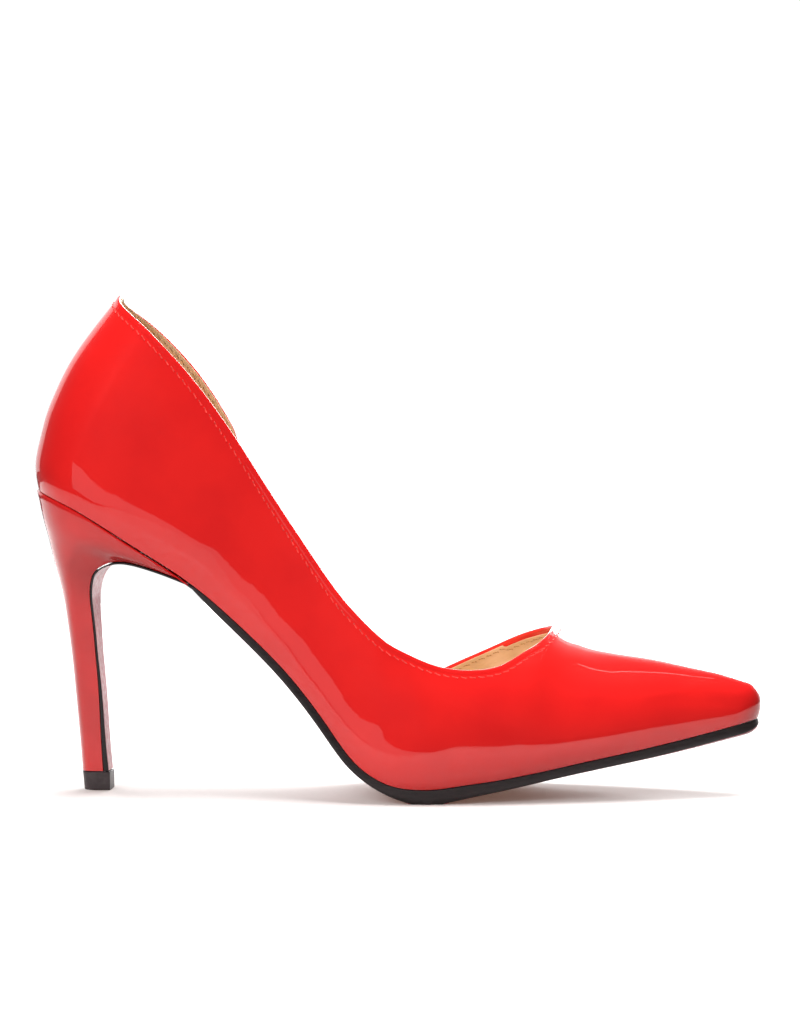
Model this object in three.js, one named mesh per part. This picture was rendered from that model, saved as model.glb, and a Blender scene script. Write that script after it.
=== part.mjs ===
// A right-foot patent leather pump with a pointed toe, a slim covered heel and a quarter cut away
// on the medial side. Millimetres. +X runs to the toe, +Y to the medial side, +Z up. The floor is
// at z = 0 and the back of the seat at x = 0, until the last lines set the origin under the middle.
import * as THREE from "three";
import { mergeVertices } from "three/addons/utils/BufferGeometryUtils.js";

// Driving sizes
const shoeLength = 234.4;
const ballWidth = 74;
const heelHeight = 98.3;
const toeSpring = 20.1;
const instepHeight = 48.2;
const counterHeight = 67.7;
const seatLength = 53;
const heelAnchor = 27;
const heelRound = 25.8;
const toeRound = 7.4;
const toeTaper = 0.32;
const throatStation = 153.8;
const sectionLean = THREE.MathUtils.degToRad(17);

// Thicknesses and clearances
const upperWall = 1.6;
const marginWidth = 8;
const marginThickness = 1.4;
const insoleThickness = 2.4;
const soleAtTread = 4.6;
const soleForepart = 3.0;
const soleShank = 2.6;
const flapThickness = 0.55;
const flapFootThickness = 1.6;
const soleSwell = 0.9;
const thinSoleSwell = 0.36;
const swellStart = 1;
const swellOver = 12;
const swellWidth = 0.55;
const treadGrind = 0.4;
const gap = 0.3;
const boardClearance = 1.0;
const boardLift = 0.5;
const soleInset = 0.4;
const rimRound = 0.8;
const frontRimDrop = 0.2;
const featherBulge = 0.05;
const bulgeReach = 4;
const longestMargin = 0.6;
const thinBelow = 0.8;
const noseReach = 2 * toeRound;
const wedgeLead = 2;
const toeEndTurn = 0.999;
const insoleToe = 0.9;
const insolePoint = 0.02;
const breastGaps = 2;
const sagPower = 8;
const flapFootLevels = 3;

// Heel tip
const tipHeight = 6;
const tipTaper = 0.6;
const tipProud = 0.4;
const tipTaperWidth = 12;

// Bottom profile: seat is a share of the rise from tread to seat, spring a share of
// the toe spring, along a share of the shoe's length.
const bottomRows = [
  { along: 0.0, seat: 1.0, spring: 0 },
  { along: 0.0717, seat: 0.93, spring: 0 },
  { along: 0.1476, seat: 0.816, spring: 0 },
  { along: 0.229, seat: 0.684, spring: 0 },
  { along: 0.3114, seat: 0.506, spring: 0 },
  { along: 0.3669, seat: 0.369, spring: 0 },
  { along: 0.4232, seat: 0.196, spring: 0 },
  { along: 0.4544, seat: 0.096, spring: 0 },
  { along: 0.4778, seat: 0.048, spring: 0 },
  { along: 0.5055, seat: 0.014, spring: 0 },
  { along: 0.5375, seat: 0.0, spring: 0 },
  { along: 0.5674, seat: 0, spring: 0.0 },
  { along: 0.6015, seat: 0, spring: 0.05 },
  { along: 0.6553, seat: 0, spring: 0.139 },
  { along: 0.7611, seat: 0, spring: 0.376 },
  { along: 0.8673, seat: 0, spring: 0.627 },
  { along: 1.0, seat: 0, spring: 1.0 },
];

// Feather line in plan: half widths to either side and the crest's offset, as shares of the ball
// width. The toe swings a little to the medial side.
const planRows = [
  { along: 0.0, lateral: 0.338, medial: 0.338, crest: 0.0 },
  { along: 0.1152, lateral: 0.341, medial: 0.341, crest: 0.0 },
  { along: 0.19, lateral: 0.336, medial: 0.315, crest: 0.01 },
  { along: 0.27, lateral: 0.325, medial: 0.268, crest: 0.02 },
  { along: 0.37, lateral: 0.366, medial: 0.262, crest: 0.035 },
  { along: 0.445, lateral: 0.452, medial: 0.352, crest: 0.055 },
  { along: 0.507, lateral: 0.498, medial: 0.44, crest: 0.07 },
  { along: 0.575, lateral: 0.486, medial: 0.478, crest: 0.08 },
  { along: 0.65, lateral: 0.438, medial: 0.442, crest: 0.08 },
  { along: 0.73, lateral: 0.36, medial: 0.385, crest: 0.07 },
  { along: 0.81, lateral: 0.276, medial: 0.315, crest: 0.055 },
  { along: 0.885, lateral: 0.185, medial: 0.236, crest: 0.038 },
  { along: 0.94, lateral: 0.12, medial: 0.175, crest: 0.03 },
  { along: 0.9684, lateral: 0.086, medial: 0.142, crest: 0.028 },
];

// Height of the crown above the feather line up the leaning section, as a share of the instep
// height, and how full the section's shoulders are. Behind the throat nothing reaches the crown.
const crownRows = [
  { along: 0.0, crown: 1.84, fullness: 2.4 },
  { along: 0.2, crown: 1.84, fullness: 2.4 },
  { along: 0.36, crown: 1.72, fullness: 2.4 },
  { along: 0.45, crown: 1.47, fullness: 2.5 },
  { along: 0.52, crown: 1.24, fullness: 2.6 },
  { along: 0.585, crown: 1.115, fullness: 2.6 },
  { along: 0.63, crown: 1.045, fullness: 2.4 },
  { along: 0.6561, crown: 1.0, fullness: 2.3 },
  { along: 0.683, crown: 0.914, fullness: 2.2 },
  { along: 0.71, crown: 0.834, fullness: 2.15 },
  { along: 0.7466, crown: 0.753, fullness: 2.1 },
  { along: 0.797, crown: 0.667, fullness: 2.0 },
  { along: 0.8434, crown: 0.578, fullness: 2.0 },
  { along: 0.8843, crown: 0.491, fullness: 2.0 },
  { along: 0.921, crown: 0.409, fullness: 2.0 },
  { along: 0.9684, crown: 0.286, fullness: 2.0 },
];

// Topline: height above the feather line up the section as a share of the instep height. Behind
// is a share of the way from the throat to the back of the heel. The medial quarter is cut down
// to a low strip along the arch.
const toplineRows = {
  lateral: [
    { behind: 0.0, height: 1.0 },
    { behind: 0.0137, height: 0.932 },
    { behind: 0.0468, height: 0.873 },
    { behind: 0.0806, height: 0.818 },
    { behind: 0.1196, height: 0.81 },
    { behind: 0.2022, height: 0.829 },
    { behind: 0.2835, height: 0.826 },
    { behind: 0.3602, height: 0.744 },
    { behind: 0.4005, height: 0.718 },
    { behind: 0.4441, height: 0.732 },
    { behind: 0.4902, height: 0.776 },
    { behind: 0.5865, height: 0.902 },
    { behind: 0.6866, height: 1.071 },
    { behind: 0.7848, height: 1.223 },
    { behind: 0.88, height: 1.313 },
    { behind: 1.0, height: 1.4046 },
  ],
  medial: [
    { behind: 0.0, height: 1.0 },
    { behind: 0.0137, height: 0.997 },
    { behind: 0.0728, height: 0.95 },
    { behind: 0.119, height: 0.888 },
    { behind: 0.171, height: 0.803 },
    { behind: 0.225, height: 0.676 },
    { behind: 0.29, height: 0.44 },
    { behind: 0.35, height: 0.215 },
    { behind: 0.41, height: 0.15 },
    { behind: 0.5, height: 0.137 },
    { behind: 0.56, height: 0.16 },
    { behind: 0.605, height: 0.3 },
    { behind: 0.64, height: 0.62 },
    { behind: 0.672, height: 0.9 },
    { behind: 0.7, height: 1.0 },
    { behind: 0.7763, height: 1.156 },
    { behind: 0.88, height: 1.28 },
    { behind: 1.0, height: 1.4046 },
  ],
};

// Back curve of the counter: reach behind the seat's middle, as a share of the reach at the
// feather line, against height as a share of the counter's height.
const counterRows = [
  { height: 0.0, reach: 1.0 },
  { height: 0.084, reach: 1.1 },
  { height: 0.23, reach: 1.152 },
  { height: 0.346, reach: 1.164 },
  { height: 0.47, reach: 1.138 },
  { height: 0.6, reach: 1.085 },
  { height: 0.8, reach: 0.936 },
  { height: 1.0, reach: 0.745 },
  { height: 1.3, reach: 0.5 },
];

// Heel block from its tip up to the seat. Back and breast are shares of the seat's length, their
// rises shares of the way from the tip to the seat, and width a share of the seat's own width.
const heelRows = [
  { back: 0.283, backRise: 0.0, breast: 0.423, breastRise: 0.0, width: 0.21 },
  { back: 0.266, backRise: 0.125, breast: 0.41, breastRise: 0.127, width: 0.222 },
  { back: 0.243, backRise: 0.268, breast: 0.4, breastRise: 0.268, width: 0.238 },
  { back: 0.219, backRise: 0.409, breast: 0.383, breastRise: 0.409, width: 0.266 },
  { back: 0.194, backRise: 0.521, breast: 0.368, breastRise: 0.525, width: 0.315 },
  { back: 0.168, backRise: 0.622, breast: 0.358, breastRise: 0.616, width: 0.4 },
  { back: 0.136, backRise: 0.698, breast: 0.374, breastRise: 0.68, width: 0.52 },
  { back: 0.109, backRise: 0.76, breast: 0.428, breastRise: 0.724, width: 0.65 },
  { back: 0.085, backRise: 0.816, breast: 0.547, breastRise: 0.748, width: 0.765 },
  { back: 0.06, backRise: 0.865, breast: 0.689, breastRise: 0.739, width: 0.86 },
  { back: 0.034, backRise: 0.92, breast: 0.849, breastRise: 0.712, width: 0.94 },
  { back: 0.006, backRise: 0.996, breast: 1.0, breastRise: 0.68, width: 1.0 },
];

// Outsole thickness down the tread and shank, each a share of the size named beside it.
const soleRows = [
  { along: 0.226, thick: flapThickness },
  { along: 0.255, thick: 0.7 * soleShank },
  { along: 0.29, thick: 0.9 * soleShank },
  { along: 0.4, thick: soleShank },
  { along: 0.47, thick: soleShank },
  { along: 0.51, thick: 0.74 * soleAtTread },
  { along: 0.54, thick: soleAtTread },
  { along: 0.58, thick: soleAtTread },
  { along: 0.63, thick: 0.83 * soleAtTread },
  { along: 0.69, thick: 1.05 * soleForepart },
  { along: 0.8, thick: soleForepart },
  { along: 1.0, thick: soleForepart },
];

// Counts of facets
const wallRows = 13;
const toeFanSteps = 4;
const heelFanSteps = 8;
const vampSteps = 10;
const quarterSteps = 26;
const heelLevels = 18;
const seatSteps = 12;
const noseSteps = 6;
const soleSteps = 50;
const flapSteps = 24;
const insoleSteps = 44;
const ribSamples = 60;
const throatCrowding = 1.35;
const backCrowding = 0.7;
const slopeStep = 0.5;
const samePoint = 1e-4;
const weldReach = 1e-3;

// Natural cubic spline through rows of a table, read by two column names.
function curve(rows, input, output) {
  const count = rows.length;
  const xs = rows.map((row) => row[input]);
  const ys = rows.map((row) => row[output]);
  const bend = new Array(count).fill(0);
  const carry = new Array(count).fill(0);
  for (let i = 1; i < count - 1; i++) {
    const share = (xs[i] - xs[i - 1]) / (xs[i + 1] - xs[i - 1]);
    const pivot = share * bend[i - 1] + 2;
    const after = (ys[i + 1] - ys[i]) / (xs[i + 1] - xs[i]);
    const before = (ys[i] - ys[i - 1]) / (xs[i] - xs[i - 1]);
    bend[i] = (share - 1) / pivot;
    carry[i] = ((6 * (after - before)) / (xs[i + 1] - xs[i - 1]) - share * carry[i - 1]) / pivot;
  }
  for (let i = count - 2; i >= 0; i--) {
    bend[i] = bend[i] * bend[i + 1] + carry[i];
  }
  return (x) => {
    let i = 0;
    while (i < count - 2 && x > xs[i + 1]) {
      i++;
    }
    const step = xs[i + 1] - xs[i];
    const a = (xs[i + 1] - x) / step;
    const b = (x - xs[i]) / step;
    const sag = (a * a * a - a) * bend[i] + (b * b * b - b) * bend[i + 1];
    return a * ys[i] + b * ys[i + 1] + (sag * step * step) / 6;
  };
}

// Where the feather line runs
const treadHeight = soleAtTread + gap;
const seatShare = curve(bottomRows, "along", "seat");
const springShare = curve(bottomRows, "along", "spring");
const planShare = {
  lateral: curve(planRows, "along", "lateral"),
  medial: curve(planRows, "along", "medial"),
  crest: curve(planRows, "along", "crest"),
};
const crownShare = curve(crownRows, "along", "crown");
const fullness = curve(crownRows, "along", "fullness");
const sideSign = { lateral: -1, medial: 1 };
const toeAnchor = shoeLength - toeRound;
const seatBack = heelAnchor - heelRound;
const up = new THREE.Vector3(Math.sin(sectionLean), 0, Math.cos(sectionLean));

function bottomHeight(x) {
  const along = x / shoeLength;
  return treadHeight + seatShare(along) * (heelHeight - treadHeight) + springShare(along) * toeSpring;
}

function bottomNormal(x) {
  const slope = (bottomHeight(x + slopeStep) - bottomHeight(x - slopeStep)) / (2 * slopeStep);
  return new THREE.Vector3(-slope, 0, 1).normalize();
}

function halfWidth(side, x) {
  return planShare[side](x / shoeLength) * ballWidth;
}

function crestOffset(x) {
  return planShare.crest(x / shoeLength) * ballWidth;
}

// The feather line's point on one side at a station: between the anchors it lies abreast of the
// station, and past them it turns round the toe or the heel by an angle, zero on the centre line.
// The round of the toe narrows by its taper, so that it leaves the sides without a corner.
function featherPoint(side, station, angle) {
  const sign = sideSign[side];
  if (angle === null) {
    return new THREE.Vector3(station, sign * halfWidth(side, station), bottomHeight(station));
  }
  const atToe = station > throatStation;
  const centre = atToe ? (halfWidth("medial", station) - halfWidth("lateral", station)) / 2 : 0;
  const across = atToe ? (halfWidth("medial", station) + halfWidth("lateral", station)) / 2
    : halfWidth(side, station);
  const reach = atToe ? toeRound : -heelRound;
  const taper = atToe ? 1 - toeTaper * Math.cos(angle) : 1;
  const x = station + reach * Math.cos(angle);
  const y = centre + sign * across * taper * Math.sin(angle);
  return new THREE.Vector3(x, y, bottomHeight(x));
}

// One rib of the upper runs from the feather line up the leaning section.
function makeRib(side, station, angle) {
  const foot = featherPoint(side, station, angle);
  const anchor = new THREE.Vector3(station, crestOffset(station), bottomHeight(station));
  const spoke = foot.clone().sub(anchor);
  const footRise = spoke.dot(up);
  const across = spoke.clone().addScaledVector(up, -footRise);
  const crown = crownShare(station / shoeLength) * instepHeight - footRise;
  const atHeel = angle !== null && station < throatStation;
  const backShare = atHeel ? Math.cos(angle) ** 2 : 0;
  return { side, station, angle, foot, anchor, across, crown, backShare };
}

const counterReach = curve(counterRows, "height", "reach");

function ribPoint(rib, rise) {
  const level = Math.min(rise / rib.crown, 1);
  const arch = Math.sqrt(1 - level ** fullness(rib.station / shoeLength));
  const side = arch * (1 + featherBulge * (1 - Math.exp(-rise / bulgeReach)));
  const back = rib.backShare > 0 ? counterReach(rise / counterHeight) : 0;
  const spread = side + (back - side) * rib.backShare;
  return rib.foot.clone().addScaledVector(up, rise).addScaledVector(rib.across, spread - 1);
}

// Topline height for a rib, or the crown itself in front of the throat.
const rootRows = (rows) => rows.map((row) => ({ root: Math.sqrt(row.behind), height: row.height }));
const toplineShare = {
  lateral: curve(rootRows(toplineRows.lateral), "root", "height"),
  medial: curve(rootRows(toplineRows.medial), "root", "height"),
};

function toplineRise(rib) {
  const turned = rib.angle === null ? rib.station : (rib.station * rib.angle) / (Math.PI / 2);
  if (rib.station >= throatStation) {
    return rib.crown;
  }
  const behind = (throatStation - turned) / throatStation;
  return toplineShare[rib.side](Math.sqrt(behind)) * instepHeight;
}

// A rib's points from a starting rise to the topline, spaced evenly along it.
function ribPoints(rib, startRise, count) {
  const top = toplineRise(rib);
  const line = [];
  for (let k = 0; k <= ribSamples; k++) {
    const share = Math.sin((Math.PI / 2) * (k / ribSamples));
    line.push(ribPoint(rib, startRise + (top - startRise) * share));
  }
  const lengths = [0];
  for (let k = 1; k < line.length; k++) {
    lengths.push(lengths[k - 1] + line[k].distanceTo(line[k - 1]));
  }
  const total = lengths[lengths.length - 1];
  const points = [line[0]];
  let k = 1;
  for (let row = 1; row < count; row++) {
    const wanted = (total * row) / count;
    while (lengths[k] < wanted) {
      k++;
    }
    const share = (wanted - lengths[k - 1]) / (lengths[k] - lengths[k - 1]);
    points.push(line[k - 1].clone().lerp(line[k], share));
  }
  points.push(line[line.length - 1]);
  return points;
}

// Ribs of one side from the tip of the toe to the back of the heel. Open ribs crowd towards the
// throat, where the topline turns fastest.
function sideRibs(side) {
  const ribs = [];
  for (let i = 0; i < toeFanSteps; i++) {
    ribs.push(makeRib(side, toeAnchor, (Math.PI / 2) * (i / toeFanSteps)));
  }
  for (let i = 0; i <= vampSteps; i++) {
    ribs.push(makeRib(side, toeAnchor + (throatStation - toeAnchor) * (i / vampSteps), null));
  }
  for (let i = 1; i <= quarterSteps; i++) {
    const share = (i / quarterSteps) ** throatCrowding;
    ribs.push(makeRib(side, throatStation + (heelAnchor - throatStation) * share, null));
  }
  for (let i = heelFanSteps - 1; i >= 0; i--) {
    ribs.push(makeRib(side, heelAnchor, (Math.PI / 2) * (i / heelFanSteps)));
  }
  return ribs;
}

// Meshes are gathered as quads, and a quad with two like corners becomes one triangle.
function addGrid(quads, grid, closed, flipped) {
  const count = closed ? grid.length : grid.length - 1;
  for (let i = 0; i < count; i++) {
    const here = grid[i];
    const next = grid[(i + 1) % grid.length];
    for (let j = 0; j < here.length - 1; j++) {
      if (flipped) {
        quads.push([here[j], here[j + 1], next[j + 1], next[j]]);
      } else {
        quads.push([here[j], next[j], next[j + 1], here[j + 1]]);
      }
    }
  }
}

function solidFrom(quads) {
  const positions = [];
  for (const [a, b, c, d] of quads) {
    for (const triangle of [[a, b, c], [a, c, d]]) {
      const [p, q, r] = triangle;
      const sides = [p.distanceTo(q), q.distanceTo(r), r.distanceTo(p)];
      if (Math.min(...sides) > samePoint) {
        triangle.forEach((corner) => positions.push(corner.x, corner.y, corner.z));
      }
    }
  }
  const geometry = new THREE.BufferGeometry();
  geometry.setAttribute("position", new THREE.Float32BufferAttribute(positions, 3));
  return mergeVertices(geometry, weldReach);
}

// Upper: a thin shell with a turned-in lasting margin, open at the topline and underneath.
function makeUpper() {
  const lateral = sideRibs("lateral");
  const medial = sideRibs("medial");
  const ribs = lateral.concat(medial.slice(1, -1).reverse());
  const count = ribs.length;
  const throat = toeFanSteps + vampSteps;
  const opposite = (i) => (count - i) % count;
  const inVamp = (i) => i <= throat || i >= count - throat;
  const outside = ribs.map((rib) => ribPoints(rib, 0, wallRows));
  const middle = ribs.map((rib) => ribPoints(rib, marginThickness, wallRows));

  function inward(i, j) {
    const before = middle[(i + count - 1) % count][j];
    const after = middle[(i + 1) % count][j];
    const below = middle[i][Math.max(j - 1, 0)];
    const above = middle[i][Math.min(j + 1, wallRows)];
    return after.clone().sub(before).cross(above.clone().sub(below)).normalize();
  }

  function crestInward(i) {
    const station = Math.max(i, toeFanSteps);
    const ahead = middle[Math.max(station - 1, toeFanSteps)][wallRows];
    const behind = middle[Math.min(station + 1, throat)][wallRows];
    const nearSide = middle[station][wallRows - 1];
    const farSide = middle[opposite(station)][wallRows - 1];
    return behind.clone().sub(ahead).cross(farSide.clone().sub(nearSide)).normalize();
  }

  const inside = middle.map((points, i) => points.map((point, j) => {
    if (j === wallRows && inVamp(i)) {
      return point.clone().addScaledVector(crestInward(Math.min(i, opposite(i))), upperWall);
    }
    return point.clone().addScaledVector(inward(i, j), upperWall);
  }));

  // The lasting margin runs from the feather line towards the anchor, flat on the last's bottom.
  const edgeBelow = ribs.map((rib) => {
    const spoke = rib.anchor.clone().sub(rib.foot);
    const share = Math.min(marginWidth / spoke.length(), longestMargin);
    const point = rib.foot.clone().addScaledVector(spoke, share);
    point.z = bottomHeight(point.x);
    return point;
  });
  const edgeAbove = edgeBelow.map((point) => {
    return point.clone().addScaledVector(bottomNormal(point.x), marginThickness);
  });

  const quads = [];
  addGrid(quads, outside.map((points, i) => [edgeBelow[i], ...points]), true, true);
  addGrid(quads, inside.map((points, i) => [edgeAbove[i], ...points]), true, false);
  addGrid(quads, edgeBelow.map((point, i) => [point, edgeAbove[i]]), true, false);
  const rim = [];
  for (let i = throat; i <= count - throat; i++) {
    rim.push([outside[i][wallRows], inside[i][wallRows]]);
  }
  addGrid(quads, rim, false, true);
  return solidFrom(quads);
}

// Heel block levels, from 0 at the tip to the last row at the seat.
const levelRows = heelRows.map((row, level) => ({ level, ...row }));
const lastLevel = heelRows.length - 1;
const levelCurve = {
  back: curve(levelRows, "level", "back"),
  backRise: curve(levelRows, "level", "backRise"),
  breast: curve(levelRows, "level", "breast"),
  breastRise: curve(levelRows, "level", "breastRise"),
  width: curve(levelRows, "level", "width"),
};

// Height of the heel's top under the seat, a little lower towards the breast, where the outsole
// runs in between.
function seatLine(x, share) {
  return bottomHeight(x) - gap * THREE.MathUtils.lerp(breastGaps, 1, share);
}

function heelRise(share) {
  const foot = tipHeight + gap;
  return foot + share * (heelHeight - foot);
}

function breastPoint(level) {
  const x = levelCurve.breast(level) * seatLength;
  const z = level < lastLevel ? heelRise(levelCurve.breastRise(level)) : seatLine(x, 0);
  return new THREE.Vector3(x, 0, z);
}

function backPoint(level) {
  const x = levelCurve.back(level) * seatLength;
  const z = level < lastLevel ? heelRise(levelCurve.backRise(level)) : seatLine(x, 1);
  return new THREE.Vector3(x, 0, z);
}

function seatHalf(side, share) {
  const x = seatLength + (seatBack - seatLength) * share;
  if (x >= heelAnchor) {
    return halfWidth(side, x) - soleInset;
  }
  const turn = (heelAnchor - x) / heelRound;
  return (halfWidth(side, heelAnchor) - soleInset) * Math.sqrt(Math.max(1 - turn * turn, 0));
}

// A level runs straight from breast to back low on the heel, and takes on the seat's sag near it.
function heelPoint(side, level, share) {
  const front = breastPoint(level);
  const back = backPoint(level);
  const point = front.clone().lerp(back, share);
  const straight = THREE.MathUtils.lerp(seatLine(front.x, 0), seatLine(back.x, 1), share);
  point.z += (seatLine(point.x, share) - straight) * (level / lastLevel) ** sagPower;
  point.y = sideSign[side] * seatHalf(side, share) * levelCurve.width(level);
  return point;
}

// A solid from stacked outlines, each given by its lateral and medial points front to back.
function stackedSolid(levels) {
  const quads = [];
  const last = levels[levels.length - 1];
  const rungs = (level) => level.lateral.map((point, i) => [point, level.medial[i]]);
  addGrid(quads, rungs(levels[0]), false, false);
  addGrid(quads, rungs(last), false, true);
  addGrid(quads, levels.map((level) => [level.lateral[0], level.medial[0]]), false, true);
  addGrid(quads, levels.map((level) => level.lateral), false, false);
  addGrid(quads, levels.map((level) => level.medial), false, true);
  return solidFrom(quads);
}

// Shares from the breast to the back, crowded towards the back, where the outline is round.
function seatShares() {
  return Array.from({ length: seatSteps + 1 }, (_, i) => {
    const even = i / seatSteps;
    return THREE.MathUtils.lerp(even, Math.sin((Math.PI / 2) * even), backCrowding);
  });
}

function heelOutline(level, inset) {
  const shares = seatShares();
  const halfway = 0.5;
  const trace = (side) => shares.map((share) => {
    const point = heelPoint(side, level, share);
    const centre = heelPoint(side, level, halfway);
    point.y *= 1 - inset / (seatHalf(side, halfway) * levelCurve.width(level));
    point.x += (centre.x - point.x) * (inset / (halfway * seatLength));
    return point;
  });
  return { lateral: trace("lateral"), medial: trace("medial") };
}

function makeHeel() {
  const levels = [];
  for (let i = 0; i < heelLevels; i++) {
    levels.push(heelOutline((lastLevel * i) / heelLevels, 0));
  }
  const rimLevel = heelOutline(lastLevel, 0);
  const top = heelOutline(lastLevel, rimRound / 2);
  for (const points of [rimLevel.lateral, rimLevel.medial]) {
    points.forEach((point, i) => {
      point.z -= THREE.MathUtils.lerp(frontRimDrop, rimRound, i / seatSteps);
    });
  }
  levels.push(rimLevel, top);
  return stackedSolid(levels);
}

// Outsole: a sheet along the bottom of the upper, then under the heel's wedge and down its breast.
const soleThickness = curve(soleRows, "along", "thick");

// Stations from the point of the toe, crowded where it is round, back to just before the heel.
function solePath() {
  const front = shoeLength - soleInset;
  const nose = front - noseReach;
  const wedge = seatLength + wedgeLead;
  const stations = [];
  for (let i = 0; i < noseSteps; i++) {
    stations.push(front - (front - nose) * (1 - Math.cos((Math.PI / 2) * (i / noseSteps))));
  }
  for (let i = 0; i <= soleSteps; i++) {
    stations.push(nose + (wedge - nose) * (i / soleSteps));
  }
  return stations.map((x) => {
    const top = new THREE.Vector3(x, 0, bottomHeight(x)).addScaledVector(bottomNormal(x), -gap);
    return { top, thick: soleThickness(x / shoeLength), x };
  });
}

function soleHalf(side, x) {
  if (x <= toeAnchor) {
    return sideSign[side] * (halfWidth(side, x) - soleInset);
  }
  const centre = (halfWidth("medial", toeAnchor) - halfWidth("lateral", toeAnchor)) / 2;
  const across = (halfWidth("medial", toeAnchor) + halfWidth("lateral", toeAnchor)) / 2 - soleInset;
  const turn = Math.min((x - toeAnchor) / (toeRound - soleInset), toeEndTurn);
  const taper = 1 - toeTaper * turn;
  return centre + sideSign[side] * across * taper * Math.sqrt(1 - turn * turn);
}

function makeOutsole() {
  const path = solePath().map((row) => {
    return { ...row, lateral: soleHalf("lateral", row.x), medial: soleHalf("medial", row.x) };
  });
  for (let i = 0; i <= flapSteps; i++) {
    const level = lastLevel * (1 - i / flapSteps);
    const width = levelCurve.width(level);
    const low = Math.max(1 - level / flapFootLevels, 0);
    path.push({
      top: breastPoint(level),
      thick: THREE.MathUtils.lerp(flapThickness, flapFootThickness, low),
      lateral: -seatHalf("lateral", 0) * width,
      medial: seatHalf("medial", 0) * width,
      inFlap: true,
    });
  }
  const sections = path.map((row, i) => {
    const before = path[Math.max(i - 1, 0)].top;
    const after = path[Math.min(i + 1, path.length - 1)].top;
    const along = after.clone().sub(before).normalize();
    const down = new THREE.Vector3(-along.z, 0, along.x);
    const top = row.inFlap ? row.top.clone().addScaledVector(down, gap) : row.top;
    const edge = top.clone().addScaledVector(down, row.thick);
    const clearOfFloor = Math.min(Math.max((edge.z - swellStart) / swellOver, 0), 1);
    const fullSwell = row.thick > thinBelow * soleShank ? soleSwell : thinSoleSwell;
    const middle = edge.clone().addScaledVector(down, row.inFlap ? 0 : fullSwell * clearOfFloor);
    const place = (point, y) => {
      const z = point.z < treadGrind && !row.inFlap ? 0 : point.z;
      return new THREE.Vector3(point.x, y, z);
    };
    return [
      place(top, row.lateral),
      place(edge, row.lateral),
      place(middle, row.lateral * swellWidth),
      place(middle, row.medial * swellWidth),
      place(edge, row.medial),
      place(top, row.medial),
      place(top, row.lateral),
    ];
  });
  const quads = [];
  addGrid(quads, sections, false, false);
  const cap = (section, flipped) => {
    const [a, b, c, d, e, f] = section;
    const faces = [[a, b, c, d], [a, d, e, f]];
    faces.forEach((face) => quads.push(flipped ? face.slice().reverse() : face));
  };
  cap(sections[0], false);
  cap(sections[sections.length - 1], true);
  return solidFrom(quads);
}

// Insole: a board inside the wall, lying on the lasting margin.
function makeInsole() {
  const lift = marginThickness + boardLift;
  const clear = upperWall + boardClearance;
  const back = seatBack + clear;
  const front = shoeLength - toeRound * insoleToe;
  const levels = [lift, lift + insoleThickness].map((height) => {
    const trace = (side) => Array.from({ length: insoleSteps + 1 }, (_, i) => {
      const share = (1 - Math.cos((Math.PI * i) / insoleSteps)) / 2;
      const x = front + (back - front) * share;
      const point = new THREE.Vector3(x, 0, bottomHeight(x));
      point.addScaledVector(bottomNormal(x), height);
      point.y = insoleHalf(side, x, front, back, clear);
      return point;
    });
    return { lateral: trace("lateral"), medial: trace("medial") };
  });
  return stackedSolid(levels);
}

function insoleHalf(side, x, front, back, clear) {
  const sign = sideSign[side];
  const roundFrom = toeAnchor - toeRound;
  if (x > roundFrom) {
    const centre = crestOffset(roundFrom);
    const across = sign * (halfWidth(side, roundFrom) - clear) - centre;
    const turn = (x - roundFrom) / (front - roundFrom);
    return centre + sign * Math.abs(across) * Math.sqrt(Math.max(1 - turn * turn, insolePoint ** 2));
  }
  if (x < heelAnchor) {
    const turn = (heelAnchor - x) / (heelAnchor - back);
    return sign * (halfWidth(side, heelAnchor) - clear) * Math.sqrt(Math.max(1 - turn * turn, 0));
  }
  return sign * (halfWidth(side, x) - clear);
}

// Heel tip: the rubber top piece, D-shaped in plan, on the floor.
function makeHeelTip() {
  const top = heelOutline(0, 0);
  const reach = gap + flapFootThickness + tipProud;
  const levels = [0, tipHeight].map((height) => {
    const inset = height > 0 ? 0 : tipTaper;
    const trace = (points) => points.map((point, i) => {
      const share = 1 - i / seatSteps;
      const back = top.lateral[seatSteps].x;
      const stretch = (top.lateral[0].x + reach - back) / (top.lateral[0].x - back);
      const x = back + (point.x - back) * stretch + inset * (1 - share);
      return new THREE.Vector3(x, point.y * (1 - inset / tipTaperWidth), height);
    });
    return { lateral: trace(top.lateral), medial: trace(top.medial) };
  });
  return stackedSolid(levels);
}

function piece(name, geometry, colour, roughness) {
  const material = new THREE.MeshStandardMaterial({ color: colour, roughness, metalness: 0 });
  const mesh = new THREE.Mesh(geometry, material);
  mesh.name = name;
  return mesh;
}

const shoe = new THREE.Group();
shoe.add(piece("upper", makeUpper(), 0xe62622, 0.12));
shoe.add(piece("outsole", makeOutsole(), 0x2a1416, 0.35));
shoe.add(piece("heel", makeHeel(), 0xd8504c, 0.14));
shoe.add(piece("heel_tip", makeHeelTip(), 0x3a3030, 0.6));
shoe.add(piece("insole", makeInsole(), 0xc79f74, 0.55));

// The origin goes on the floor under the middle of the shoe's box.
const box = new THREE.Box3().setFromObject(shoe);
shoe.position.set(-(box.min.x + box.max.x) / 2, -(box.min.y + box.max.y) / 2, -box.min.z);
shoe.updateMatrixWorld(true);

export default shoe;
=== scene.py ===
from math import cos, pi, radians, sin

import bpy
import numpy as np
from mathutils import Matrix, Vector, kdtree
from mathutils.bvhtree import BVHTree


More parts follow.
